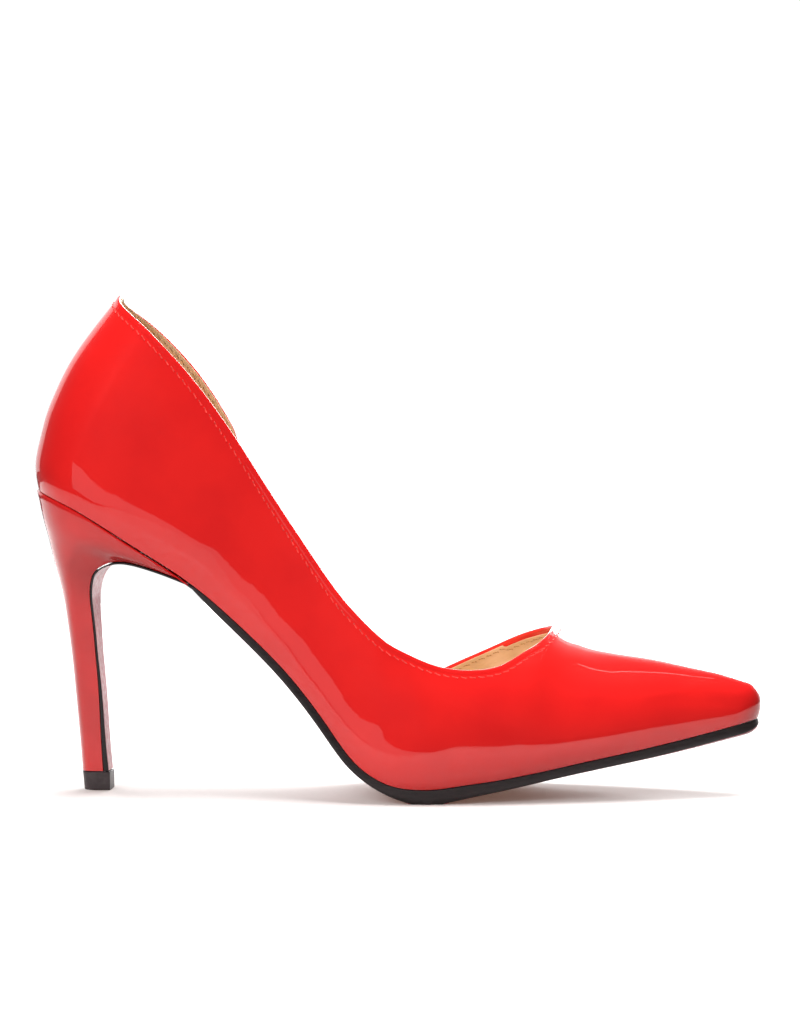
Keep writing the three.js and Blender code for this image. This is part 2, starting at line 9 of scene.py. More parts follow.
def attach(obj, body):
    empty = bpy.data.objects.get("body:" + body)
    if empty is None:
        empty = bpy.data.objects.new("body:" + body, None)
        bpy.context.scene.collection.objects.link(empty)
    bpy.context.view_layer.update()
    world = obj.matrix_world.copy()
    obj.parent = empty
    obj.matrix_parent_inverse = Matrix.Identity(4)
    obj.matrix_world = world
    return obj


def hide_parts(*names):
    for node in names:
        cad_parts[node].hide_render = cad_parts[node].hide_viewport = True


bl_info = {
    "name": "Patent Pump",
    "version": (1, 0, 0),
    "blender": (4, 5, 0),
    "location": "3D View > Sidebar > Pump",
    "description": "Dresses a right-foot patent leather pump around its packed solids",
    "category": "Add Mesh",
}

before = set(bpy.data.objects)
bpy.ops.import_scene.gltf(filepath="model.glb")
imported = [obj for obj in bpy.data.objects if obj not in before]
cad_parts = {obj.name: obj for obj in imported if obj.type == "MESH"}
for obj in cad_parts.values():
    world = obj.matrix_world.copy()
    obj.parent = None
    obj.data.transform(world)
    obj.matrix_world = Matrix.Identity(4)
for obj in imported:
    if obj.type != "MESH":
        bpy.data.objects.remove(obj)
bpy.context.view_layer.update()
MM = 0.001

# The last's tables. Every row starts with its place along the shoe as a share of the length.
# Bottom profile: share of the seat's rise, share of the toe spring.
BOTTOM = (
    (0.0, 1.0, 0), (0.0717, 0.93, 0), (0.1476, 0.816, 0), (0.229, 0.684, 0),
    (0.3114, 0.506, 0), (0.3669, 0.369, 0), (0.4232, 0.196, 0), (0.4544, 0.096, 0),
    (0.4778, 0.048, 0), (0.5055, 0.014, 0), (0.5375, 0.0, 0), (0.5674, 0, 0.0),
    (0.6015, 0, 0.05), (0.6553, 0, 0.139), (0.7611, 0, 0.376), (0.8673, 0, 0.627),
    (1.0, 0, 1.0),
)
# Feather line in plan: lateral half width, medial half width, offset of the crest.
PLAN = (
    (0.0, 0.338, 0.338, 0.0), (0.1152, 0.341, 0.341, 0.0), (0.19, 0.336, 0.315, 0.01),
    (0.27, 0.325, 0.268, 0.02), (0.37, 0.366, 0.262, 0.035), (0.445, 0.452, 0.352, 0.055),
    (0.507, 0.498, 0.44, 0.07), (0.575, 0.486, 0.478, 0.08), (0.65, 0.438, 0.442, 0.08),
    (0.73, 0.36, 0.385, 0.07), (0.81, 0.276, 0.315, 0.055), (0.885, 0.185, 0.236, 0.038),
    (0.94, 0.12, 0.175, 0.03), (0.9684, 0.086, 0.142, 0.028),
)
# Crown height as a share of the instep, and fullness of the shoulders.
CROWN = (
    (0.0, 1.84, 2.4), (0.2, 1.84, 2.4), (0.36, 1.72, 2.4), (0.45, 1.47, 2.5),
    (0.52, 1.24, 2.6), (0.585, 1.115, 2.6), (0.63, 1.045, 2.4), (0.6561, 1.0, 2.3),
    (0.683, 0.914, 2.2), (0.71, 0.834, 2.15), (0.7466, 0.753, 2.1), (0.797, 0.667, 2.0),
    (0.8434, 0.578, 2.0), (0.8843, 0.491, 2.0), (0.921, 0.409, 2.0), (0.9684, 0.286, 2.0),
)
# Topline height as a share of the instep, against the share of the way back from the throat.
TOPLINE = {
    "lateral": (
        (0.0, 1.0), (0.0137, 0.932), (0.0468, 0.873), (0.0806, 0.818), (0.1196, 0.81),
        (0.2022, 0.829), (0.2835, 0.826), (0.3602, 0.744), (0.4005, 0.718), (0.4441, 0.732),
        (0.4902, 0.776), (0.5865, 0.902), (0.6866, 1.071), (0.7848, 1.223), (0.88, 1.313),
        (1.0, 1.4046),
    ),
    "medial": (
        (0.0, 1.0), (0.0137, 0.997), (0.0728, 0.95), (0.119, 0.888), (0.171, 0.803),
        (0.225, 0.676), (0.29, 0.44), (0.35, 0.215), (0.41, 0.15), (0.5, 0.137),
        (0.56, 0.16), (0.605, 0.3), (0.64, 0.62), (0.672, 0.9), (0.7, 1.0),
        (0.7763, 1.156), (0.88, 1.28), (1.0, 1.4046),
    ),
}
# Back curve of the counter: share of its height, reach against the feather line's.
COUNTER = (
    (0.0, 1.0), (0.084, 1.1), (0.23, 1.152), (0.346, 1.164), (0.47, 1.138),
    (0.6, 1.085), (0.8, 0.936), (1.0, 0.745), (1.3, 0.5),
)
# Heel levels from the tip to the seat: back, its rise, breast, its rise, width. Back and breast
# are shares of the seat's length, rises shares of the way from tip to seat, width a share of the
# seat's own.
HEEL = (
    (0, 0.283, 0.0, 0.423, 0.0, 0.21), (1, 0.266, 0.125, 0.41, 0.127, 0.222),
    (2, 0.243, 0.268, 0.4, 0.268, 0.238), (3, 0.219, 0.409, 0.383, 0.409, 0.266),
    (4, 0.194, 0.521, 0.368, 0.525, 0.315), (5, 0.168, 0.622, 0.358, 0.616, 0.4),
    (6, 0.136, 0.698, 0.374, 0.68, 0.52), (7, 0.109, 0.76, 0.428, 0.724, 0.65),
    (8, 0.085, 0.816, 0.547, 0.748, 0.765), (9, 0.06, 0.865, 0.689, 0.739, 0.86),
    (10, 0.034, 0.92, 0.849, 0.712, 0.94), (11, 0.006, 0.996, 1.0, 0.68, 1.0),
)
TOP_LEVEL = 11
SIDES = {"lateral": -1, "medial": 1}
THROAT = 0.6561
# Where the folded band narrows inside the shoe, as a share of the way back from the throat.
JOG = 0.106
# Run over which the band narrows there, and over which the topline drops behind the throat.
JOG_RUN = 0.008
THROAT_RUN = 0.02
# The seat's back lies at x = 0 in the tables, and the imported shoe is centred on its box.
ORIGIN = np.array([-117.733, 1.1248, 0]) * MM
# Vertices nearer than this are one.
WELD = 0.002 * MM


def length(name, size, description):
    """A length in millimetres that a user may change."""
    return bpy.props.FloatProperty(
        name=name, description=description, default=size * MM, unit="LENGTH", precision=5, min=0.0
    )


def colour(name, code, description):
    """A colour that a user may change, from its sRGB hex code."""
    return bpy.props.FloatVectorProperty(
        name=name, description=description, default=linear(code), subtype="COLOR", size=3,
        min=0.0, max=1.0
    )


def linear(code):
    """sRGB hex colour to linear red, green and blue."""
    shares = [int(code[i:i + 2], 16) / 255 for i in (1, 3, 5)]
    return tuple(c / 12.92 if c <= 0.04045 else ((c + 0.055) / 1.055) ** 2.4 for c in shares)


class PumpSizes(bpy.types.PropertyGroup):
    """Sizes of the pump, as its maker would state them."""

    shoe_length: length("Length", 234.4, "Back of the seat to the point of the toe")
    ball_width: length("Ball width", 74, "Width across the ball of the foot")
    heel_height: length("Heel height", 98.3, "Floor to the back of the seat")
    toe_spring: length("Toe spring", 20.1, "Rise of the sole from tread to toe")
    instep: length("Instep", 48.2, "Height of the throat above the feather line")
    counter: length("Counter", 67.7, "Height of the back curve")
    seat_length: length("Seat length", 53, "Back of the seat to the heel's breast")
    wall: length("Wall", 1.6, "Patent leather, backing and lining together")
    patent: length("Patent thickness", 1.2, "Folded patent leather at the topline")
    fold_band: length("Fold band", 1.5, "Patent leather that shows inside the topline")
    stitch_inset: length("Stitch inset", 1.7, "Topline to its row of stitches")
    stitch_pitch: length("Stitch pitch", 2.8, "Distance from stitch to stitch")
    thread: length("Thread", 0.48, "Thickness of the thread")
    sole_tread: length("Sole at tread", 4.6, "Outsole and welt edge at the tread")
    sole_forepart: length("Sole forepart", 3.0, "Outsole edge towards the toe")
    sole_shank: length("Sole shank", 2.6, "Outsole edge along the arch")
    sole_flap: length("Sole flap", 0.55, "Outsole where it runs down the heel's breast")
    flap_foot: length("Flap foot", 1.6, "Outsole at the foot of the heel's breast")
    rim_round: length("Heel rim", 0.8, "Rounding of the heel cover's top edge")
    tip_height: length("Top piece", 6, "Height of the heel's top piece")


class PumpColours(bpy.types.PropertyGroup):
    """Colours of the pump's leathers, thread and rubber."""

    patent: colour("Patent leather", "#ee1f1c", "Lacquered leather of the upper")
    patent_deep: colour("Patent, deep", "#e61c1b", "Where the lacquer lies thicker")
    heel: colour("Heel cover", "#e21e1d", "Lacquered leather of the heel cover")
    lining: colour("Lining", "#eccaa6", "Leather lining of the upper")
    lining_dark: colour("Lining, dark", "#d6b184", "Pores and folds of the lining")
    sock: colour("Sock", "#dfbe93", "Leather sock on the insole")
    edge: colour("Sole edge", "#140c0d", "Inked edge of the outsole")
    underside: colour("Underside", "#a01830", "Lacquered underside of the outsole")
    rubber: colour("Top piece", "#3a3132", "Moulded top piece of the heel")
    thread: colour("Thread", "#d8342c", "Thread along the topline")
    lining_thread: colour("Lining thread", "#a87f55", "Thread seen on the lining")


# Curves of the last

def spline(rows, column, root=False):
    """Natural cubic spline through one column of a table against its first."""
    xs = np.array([row[0] for row in rows], float)
    ys = np.array([row[column] for row in rows], float)
    if root:
        xs = np.sqrt(xs)
    gaps = np.diff(xs)
    count = len(xs)
    system = np.eye(count)
    pull = np.zeros(count)
    for i in range(1, count - 1):
        system[i, i - 1:i + 2] = gaps[i - 1], 2 * (gaps[i - 1] + gaps[i]), gaps[i]
        pull[i] = 6 * ((ys[i + 1] - ys[i]) / gaps[i] - (ys[i] - ys[i - 1]) / gaps[i - 1])
    bend = np.linalg.solve(system, pull)

    def at(x):
        x = np.asarray(x, float)
        i = np.clip(np.searchsorted(xs, x) - 1, 0, count - 2)
        a = (xs[i + 1] - x) / gaps[i]
        b = 1 - a
        sag = (a ** 3 - a) * bend[i] + (b ** 3 - b) * bend[i + 1]
        return a * ys[i] + b * ys[i + 1] + sag * gaps[i] ** 2 / 6

    return at


class Last:
    """The foot form that every piece is cut to."""

    gap = 0.3 * MM
    heel_anchor = 27 * MM
    heel_round = 25.8 * MM
    toe_round = 7.4 * MM
    toe_taper = 0.32
    lean = radians(17)
    bulge = 0.05
    bulge_reach = 4 * MM

    def __init__(self, sizes):
        self.sizes = sizes
        self.length = sizes.shoe_length
        self.throat = THROAT * self.length
        self.toe_anchor = self.length - self.toe_round
        self.seat_back = self.heel_anchor - self.heel_round
        self.tread = sizes.sole_tread + self.gap
        self.up = np.array([sin(self.lean), 0, cos(self.lean)])
        self.seat_share = spline(BOTTOM, 1)
        self.spring_share = spline(BOTTOM, 2)
        self.plan = {"lateral": spline(PLAN, 1), "medial": spline(PLAN, 2), "crest": spline(PLAN, 3)}
        self.crown_share = spline(CROWN, 1)
        self.fullness = spline(CROWN, 2)
        self.topline = {side: spline(rows, 1, root=True) for side, rows in TOPLINE.items()}
        self.counter = spline(COUNTER, 1)
        self.heel = {
            name: spline(HEEL, i + 1)
            for i, name in enumerate(("back", "back_rise", "breast", "breast_rise", "width"))
        }

    def bottom(self, x):
        along = np.asarray(x, float) / self.length
        rise = self.seat_share(along) * (self.sizes.heel_height - self.tread)
        return self.tread + rise + self.spring_share(along) * self.sizes.toe_spring

    def slope(self, x):
        step = 0.5 * MM
        return (self.bottom(x + step) - self.bottom(x - step)) / (2 * step)

    def raised(self, x, y, height):
        """Points a height off the last's bottom, square to it."""
        slope = self.slope(x)
        scale = 1 / np.sqrt(1 + slope ** 2)
        z = self.bottom(x) + height * scale
        return np.stack([x - height * slope * scale, y + 0 * x, z], -1)

    def half(self, side, x):
        return self.plan[side](np.asarray(x, float) / self.length) * self.sizes.ball_width

    def toe_half(self, side, x, inset):
        """Signed half width, inset from the feather line and rounded off at the toe."""
        sign = SIDES[side]
        plain = sign * (self.half(side, np.minimum(x, self.toe_anchor)) - inset)
        lateral, medial = self.half("lateral", self.toe_anchor), self.half("medial", self.toe_anchor)
        centre = (medial - lateral) / 2
        across = (medial + lateral) / 2 - inset
        turn = np.clip((x - self.toe_anchor) / (self.toe_round - inset), 0, 0.9999)
        across = across * np.sqrt(1 - turn ** 2) * (1 - self.toe_taper * turn)
        return np.where(x > self.toe_anchor, centre + sign * across, plain)

    def seat_half(self, side, x, inset):
        """Half width of the seat, inset from the feather line and rounded off at the back."""
        turn = np.clip((self.heel_anchor - x) / (self.heel_round - inset), 0, 1)
        return (self.half(side, np.maximum(x, self.heel_anchor)) - inset) * np.sqrt(1 - turn ** 2)


# The upper's grid of ribs

TOE_FAN = 16
VAMP_RIBS = 70
QUARTER_RIBS = 130
HEEL_FAN = 30
LOW_ROWS = 40
BAND_ROWS = 20
BAND = 7 * MM
# Ribs beside the toe's fan that are evened out with it, and how often.
TOE_BLEND = 14
TOE_PASSES = 18
# Power that draws the quarter's ribs together near the throat, where the topline bends most.
QUARTER_SPACING = 1.35
# Steps along a rib before its points are spaced evenly.
RIB_STEPS = 400


def side_ribs(last, side, drops):
    """Feet and spokes of one side's ribs, from the point of the toe to the back of the heel. The
    drops lower the topline, by one measure round the throat and by another behind it."""
    throat = last.throat + drops[0]
    share = (np.arange(1, QUARTER_RIBS + 1) / QUARTER_RIBS) ** QUARTER_SPACING
    quarter = throat + (last.heel_anchor - throat) * share
    station = np.concatenate([
        np.full(TOE_FAN, last.toe_anchor),
        np.linspace(last.toe_anchor, throat, VAMP_RIBS + 1),
        quarter,
        np.full(HEEL_FAN, last.heel_anchor),
    ])
    angle = (pi / 2) * np.concatenate([
        np.arange(TOE_FAN) / TOE_FAN,
        np.ones(VAMP_RIBS + 1 + QUARTER_RIBS),
        np.arange(HEEL_FAN - 1, -1, -1) / HEEL_FAN,
    ])
    at_toe = station > throat - 1e-9
    lateral, medial = last.half("lateral", station), last.half("medial", station)
    centre = np.where(at_toe, (medial - lateral) / 2, 0)
    across = np.where(at_toe, (medial + lateral) / 2, last.half(side, station))
    x = station + np.where(at_toe, last.toe_round, -last.heel_round) * np.cos(angle)
    across = across * np.sin(angle) * np.where(at_toe, 1 - last.toe_taper * np.cos(angle), 1)
    foot = np.stack([x, centre + SIDES[side] * across, last.bottom(x)], -1)
    crest = last.plan["crest"](station / last.length) * last.sizes.ball_width
    anchor = np.stack([station, crest, last.bottom(station)], -1)
    spoke = foot - anchor
    rise = spoke @ last.up
    along = station / last.length
    crown = last.crown_share(along) * last.sizes.instep - rise
    turned = station * np.where(at_toe, 1, angle / (pi / 2))
    behind = np.clip((throat - turned) / throat, 0, 1)
    step = np.clip((behind - JOG) / JOG_RUN, 0, 1)
    drop = drops[0] + (drops[1] - drops[0]) * step
    cut = last.topline[side](np.sqrt(behind)) * last.sizes.instep
    cut = cut - drop * np.minimum(1, behind / THROAT_RUN)
    return {
        "foot": foot,
        "anchor": anchor,
        "across": spoke - rise[:, None] * last.up,
        "crown": crown,
        "full": last.fullness(along),
        "back": np.where(at_toe, 0, np.cos(angle) ** 2),
        "top": np.where(at_toe, crown, np.minimum(cut, crown)),
    }


def both_sides(last, drops):
    """Ribs round the whole upper: lateral from toe to heel, then medial back to the toe."""
    lateral, medial = side_ribs(last, "lateral", drops), side_ribs(last, "medial", drops)
    return {key: np.concatenate([lateral[key], medial[key][1:-1][::-1]]) for key in lateral}


def rib_points(last, ribs, rise):
    """Points at a rise up each rib, one row of the result for each rib."""
    level = np.clip(rise / ribs["crown"][:, None], 0, 1)
    arch = np.sqrt(1 - level ** ribs["full"][:, None])
    side = arch * (1 + last.bulge * (1 - np.exp(-rise / last.bulge_reach)))
    back = last.counter(rise / last.sizes.counter)
    spread = side + (back - side) * ribs["back"][:, None]
    return (ribs["foot"][:, None] + rise[..., None] * last.up
            + ribs["across"][:, None] * (spread - 1)[..., None])


def relaxed_toe(line):
    """Ribs round the toe, evened out along the shoe so that the fan leaves the vamp smoothly."""
    reach = TOE_FAN + TOE_BLEND
    around = np.arange(-reach, reach + 1)
    weight = 0.5 * np.clip((reach - np.abs(around)) / TOE_BLEND, 0, 1)[:, None, None]
    line = line.copy()
    for _ in range(TOE_PASSES):
        part = line[around]
        mean = (line[around - 1] + line[around + 1]) / 2
        line[around] = part + (mean - part) * weight
    return line


def rib_grid(last, start, drops):
    """Grid of the upper's surface from a starting rise to the topline, dense along its top."""
    ribs = both_sides(last, drops)
    steps = np.sin((pi / 2) * np.linspace(0, 1, RIB_STEPS))
    rise = start + (ribs["top"][:, None] - start) * steps
    line = relaxed_toe(rib_points(last, ribs, rise))
    grid = np.zeros((len(line), LOW_ROWS + BAND_ROWS + 1, 3))
    for i, points in enumerate(line):
        run = np.concatenate([[0], np.cumsum(np.linalg.norm(np.diff(points, axis=0), axis=1))])
        band = min(BAND, run[-1] / 2)
        wanted = np.concatenate([
            np.linspace(0, run[-1] - band, LOW_ROWS + 1)[:-1],
            np.linspace(run[-1] - band, run[-1], BAND_ROWS + 1),
        ])
        for axis in range(3):
            grid[i, :, axis] = np.interp(wanted, run, points[:, axis])
    return grid, ribs


# Mesh helpers

def grid_faces(rows, columns, offset=0, wrap=False, flip=False):
    """Quads of a grid of vertices laid out row by row."""
    here = np.arange(rows if wrap else rows - 1)
    there = (here + 1) % rows
    step = np.arange(columns - 1)
    a = here[:, None] * columns + step
    b = there[:, None] * columns + step
    quads = np.stack([a, b, b + 1, a + 1], -1).reshape(-1, 4) + offset
    return quads[:, ::-1] if flip else quads


def welded(points, faces):
    """Vertices joined where they coincide, and faces without their doubled corners."""
    keys = np.round(points / WELD).astype(np.int64)
    _, first, index = np.unique(keys, axis=0, return_index=True, return_inverse=True)
    index = index.reshape(-1)
    kept = []
    for face in faces:
        mapped = [int(index[c]) for c in face]
        corners = [c for i, c in enumerate(mapped) if c != mapped[i - 1]]
        if len(corners) > 2 and len(set(corners)) == len(corners):
            kept.append(tuple(corners))
    return points[first], kept, index


def grid_normals(grid):
    """Smooth outward normals of the rib grid, shared where ribs meet on the crest."""
    rows, columns = grid.shape[:2]
    points, faces, index = welded(grid.reshape(-1, 3), grid_faces(rows, columns, wrap=True))
    normals = np.zeros_like(points)
    for count in (3, 4):
        chosen = np.array([face for face in faces if len(face) == count])
        if len(chosen):
            corners = points[chosen]
            square = np.cross(corners[:, -1] - corners[:, 1], corners[:, 2] - corners[:, 0])
            for k in range(count):
                np.add.at(normals, chosen[:, k], square)
    normals /= np.maximum(np.linalg.norm(normals, axis=1, keepdims=True), 1e-12)
    return normals[index].reshape(grid.shape)


def make_piece(name, points, faces, materials, slot, nodes=(), indices=None):
    """A smooth mesh piece in the CAD's frame that rides on the shoe."""
    mesh = bpy.data.meshes.new(name)
    mesh.from_pydata((np.asarray(points) + ORIGIN).tolist(), [], [tuple(f) for f in faces])
    mesh.validate()
    for material in materials:
        mesh.materials.append(material)
    if indices is not None:
        mesh.polygons.foreach_set("material_index", np.asarray(indices, np.int32))
    mesh.polygons.foreach_set("use_smooth", np.ones(len(mesh.polygons), bool))
    mesh.set_sharp_from_angle(angle=radians(50))
    mesh.update()
    piece = bpy.data.objects.new(name, mesh)
    bpy.context.scene.collection.objects.link(piece)
    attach(piece, "root")
    if nodes:
        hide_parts(*nodes)
    return piece


def ripple(points, size):
    """Slow unevenness of pulled leather, so that reflections waver a little."""
    x, y, z = (points[..., i] / MM for i in range(3))
    wave = np.sin(x / 5.2 + 0.5 * np.sin(z / 6.1)) * np.sin(z / 4.3 + y / 9 + 1.1)
    wave = wave + 0.6 * np.sin(x / 2.9 - z / 5.5 + 2) + 0.5 * np.sin((x + y) / 11 + z / 7)
    return size * wave


# Creases and swells of the lateral side: start x and z, end x and z, half width
# and height, in millimetres. A height below zero is a trough.
CREASES = (
    (19.8, 120.3, 15.0, 110.0, 7.0, 0.42),
    (40.0, 91.5, 58.0, 82.0, 5.0, 0.1),
    (89.2, 76.7, 98.9, 63.8, 5.0, 0.16),
    (112.4, 52.0, 114.8, 27.0, 4.0, 0.24),
    (121.0, 44.0, 123.5, 26.0, 3.5, -0.14),
    (139.2, 17.1, 160.1, 20.3, 4.0, -0.07),
    (175.0, 47.1, 187.2, 43.2, 2.2, -0.16),
    (178.0, 44.0, 183.0, 35.0, 3.0, 0.1),
    (198.9, 32.5, 214.0, 35.5, 1.5, 0.08),
    (214.0, 35.5, 229.0, 32.8, 1.5, 0.08),
    (203.7, 31.6, 227.0, 30.2, 1.5, -0.07),
)


def creases(points):
    """Height of the listed creases at points of the upper's surface."""
    place = points[..., ::2] / MM
    height = 0
    for x0, z0, x1, z1, width, swell in CREASES:
        start, run = np.array([x0, z0]), np.array([x1 - x0, z1 - z0])
        share = np.clip(((place - start) @ run) / (run @ run), 0, 1)
        away = np.linalg.norm(place - start - share[..., None] * run, axis=-1)
        height = height + swell * MM * np.exp(-(away / width) ** 2)
    return height * np.clip(0.5 - points[..., 1] / (6 * MM), 0, 1)


def opening_edge(grid, normals):
    """The topline as a closed loop: points, normals, and the way out of the leather."""
    count = len(grid)
    throat = TOE_FAN + VAMP_RIBS
    order = np.arange(throat, count - throat)
    edge, out = grid[order, -1], normals[order, -1]
    along = np.roll(edge, -1, 0) - np.roll(edge, 1, 0)
    along /= np.linalg.norm(along, axis=1, keepdims=True)
    beyond = np.cross(along, out)
    if beyond[:, 2].sum() < 0:
        beyond = -beyond
    beyond /= np.linalg.norm(beyond, axis=1, keepdims=True)
    return order, edge, out, beyond


def near_edge(points, edge):
    """Distance from each point to the topline, out to the width of the dense band."""
    loop = np.vstack([edge, edge[:1]])
    fine = np.concatenate([
        loop[:-1] + (loop[1:] - loop[:-1]) * share for share in (0, 0.25, 0.5, 0.75)
    ])
    tree = kdtree.KDTree(len(fine))
    for i, point in enumerate(fine):
        tree.insert(point, i)
    tree.balance()
    return np.array([tree.find(point)[2] for point in points])


# Lasting margin turned in under the insole, its most as a share of the way to the middle, and
# its lift off the sole.
MARGIN = 8 * MM
MARGIN_SHARE = 0.6
MARGIN_LIFT = 0.02 * MM
RIM_RINGS = 9


def shell(last, start, drops, outer, inner, relief=None):
    """A closed wall between two depths under the upper's surface, with a rounded top edge, and
    the topline that it ends at."""
    grid, ribs = rib_grid(last, start, drops)
    normals = grid_normals(grid)
    order, edge, out, beyond = opening_edge(grid, normals)
    outside = grid - normals * outer
    if relief is not None:
        outside = outside + normals * relief(grid, edge)[..., None]
    inside = grid - normals * inner
    count, columns = grid.shape[:2]
    spoke = ribs["anchor"] - ribs["foot"]
    share = np.minimum(MARGIN / np.linalg.norm(spoke, axis=1), MARGIN_SHARE)[:, None]
    margin = ribs["foot"] + spoke * share
    low = last.raised(margin[:, 0], margin[:, 1], start + MARGIN_LIFT)
    high = last.raised(margin[:, 0], margin[:, 1], start + inner - outer)
    outside = np.concatenate([low[:, None], outside], 1)
    inside = np.concatenate([high[:, None], inside], 1)
    columns += 1
    radius = (inner - outer) / 2
    middle = (outside[order, -1] + inside[order, -1]) / 2
    rim = np.stack([
        middle + (outside[order, -1] - middle) * cos(turn) + beyond * radius * sin(turn)
        for turn in np.linspace(0, pi, RIM_RINGS)
    ], 1)
    rim[:, -1] = inside[order, -1]
    size = count * columns
    points = np.concatenate([outside.reshape(-1, 3), inside.reshape(-1, 3), rim.reshape(-1, 3)])
    base = np.arange(count)
    ahead = (base + 1) % count
    bridge = np.stack([base, ahead, ahead, base], -1) * columns
    bridge[:, 2:] += size
    faces = np.concatenate([
        grid_faces(count, columns, wrap=True),
        grid_faces(count, columns, offset=size, wrap=True, flip=True),
        bridge[:, ::-1],
        grid_faces(len(order), RIM_RINGS, offset=2 * size, wrap=True),
    ])
    points, faces, _ = welded(points, faces)
    return points, faces, (edge, out, beyond)


# Materials

def add(tree, kind, values=None, links=None, **settings):
    """Adds one node with its settings, socket values and links, and gives it back."""
    node = tree.nodes.new(kind)
    for key, value in settings.items():
        setattr(node, key, value)
    for key, value in (values or {}).items():
        node.inputs[key].default_value = value
    for key, source in (links or {}).items():
        tree.links.new(source, node.inputs[key])
    return node


def surface(name, values):
    """A material with one principled shader, and its tree and place coordinates."""
    material = bpy.data.materials.new(name)
    material.use_nodes = True
    tree = material.node_tree
    tree.nodes.clear()
    shader = add(tree, "ShaderNodeBsdfPrincipled", values)
    add(tree, "ShaderNodeOutputMaterial", links={"Surface": shader.outputs[0]})
    place = add(tree, "ShaderNodeTexCoord").outputs["Object"]
    return material, tree, shader, place


def speckle(tree, place, size, detail=2.0, roughness=0.5, stretch=(1, 1, 1)):
    """Noise whose blotches are about one size, in metres, across."""
    spread = add(tree, "ShaderNodeMapping", {"Scale": stretch}, {"Vector": place})
    values = {"Scale": 1 / size, "Detail": detail, "Roughness": roughness}
    return add(tree, "ShaderNodeTexNoise", values, {"Vector": spread.outputs[0]}).outputs["Fac"]


def toned(tree, factor, low, high, first, second):
    """Colour that runs from first to second as the factor runs from low to high."""
    share = add(
        tree, "ShaderNodeMapRange", {"From Min": low, "From Max": high}, {"Value": factor}
    ).outputs[0]
    mix = add(
        tree, "ShaderNodeMix", {6: (*first, 1), 7: (*second, 1)}, {0: share}, data_type="RGBA"
    )
    return mix.outputs[2]


def ranged(tree, factor, low, high, start, end):
    """Number that runs from start to end as the factor runs from low to high."""
    values = {"From Min": low, "From Max": high, "To Min": start, "To Max": end}
    return add(tree, "ShaderNodeMapRange", values, {"Value": factor}).outputs[0]


def bumped(tree, height, depth, under=None):
    """Normal from a height between 0 and 1 that stands for a depth in metres."""
    links = {"Height": height}
    if under is not None:
        links["Normal"] = under
    return add(tree, "ShaderNodeBump", {"Strength": 1.0, "Distance": depth}, links).outputs[0]


def patent_leather(name, main, deep):
    """Cattle leather under a flowed polyurethane lacquer. The colour lies deep under a hard clear
    gloss, and the lacquer keeps a faint orange peel and slow waves from the leather below."""
    values = {
        "Roughness": 0.42, "IOR": 1.5, "Specular IOR Level": 0.12,
        "Coat Weight": 1.0, "Coat Roughness": 0.035, "Coat IOR": 1.5,
    }
    material, tree, shader, place = surface(name, values)
    pooled = speckle(tree, place, 19 * MM, 3.0)
    tree.links.new(toned(tree, pooled, 0.38, 0.66, main, deep), shader.inputs["Base Color"])
    grain = speckle(tree, place, 0.9 * MM, 2.0)
    base = bumped(tree, grain, 0.012 * MM)
    tree.links.new(base, shader.inputs["Normal"])
    # Orange peel of brushed lacquer, about 2 mm from crest to crest and some microns deep.
    peel = bumped(tree, speckle(tree, place, 2.2 * MM, 1.0), 0.006 * MM)
    waves = bumped(tree, speckle(tree, place, 9 * MM, 1.0), 0.03 * MM, peel)
    tree.links.new(waves, shader.inputs["Coat Normal"])
    return material


def lining_leather(name, main, dark):
    """Pigmented goatskin, rolled and left unglazed: fine pebbled pores and a soft low sheen."""
    values = {"IOR": 1.48, "Specular IOR Level": 0.35, "Sheen Weight": 0.12, "Sheen Roughness": 0.4}
    material, tree, shader, place = surface(name, values)
    clouds = speckle(tree, place, 11 * MM, 4.0)
    # Goat pores are about 0.25 mm, drawn at 0.6 mm so that they show.
    pores = add(
        tree, "ShaderNodeTexVoronoi", {"Scale": 1 / (0.6 * MM)}, {"Vector": place},
        feature="SMOOTH_F1"
    ).outputs["Distance"]
    tree.links.new(toned(tree, clouds, 0.35, 0.75, main, dark), shader.inputs["Base Color"])
    tree.links.new(ranged(tree, pores, 0.0, 0.7, 0.62, 0.45), shader.inputs["Roughness"])
    creases = bumped(tree, speckle(tree, place, 3 * MM, 5.0, 0.6), 0.12 * MM)
    tree.links.new(bumped(tree, pores, 0.06 * MM, creases), shader.inputs["Normal"])
    return material


def inked_edge(name, ink):
    """Cut sole leather, sanded, inked and waxed: near black, satin, with fibres along the cut."""
    values = {"IOR": 1.46, "Specular IOR Level": 0.4}
    material, tree, shader, place = surface(name, values)
    # Sanding lines are about 0.2 mm apart, drawn at 0.5 mm so that they show.
    lines = speckle(tree, place, 0.5 * MM, 3.0, 0.6, stretch=(0.12, 0.12, 1))
    worn = tuple(min(1, c * 2.2 + 0.006) for c in ink)
    tree.links.new(toned(tree, lines, 0.35, 0.75, ink, worn), shader.inputs["Base Color"])
    tree.links.new(ranged(tree, lines, 0.3, 0.7, 0.3, 0.46), shader.inputs["Roughness"])
    tree.links.new(bumped(tree, lines, 0.05 * MM), shader.inputs["Normal"])
    return material


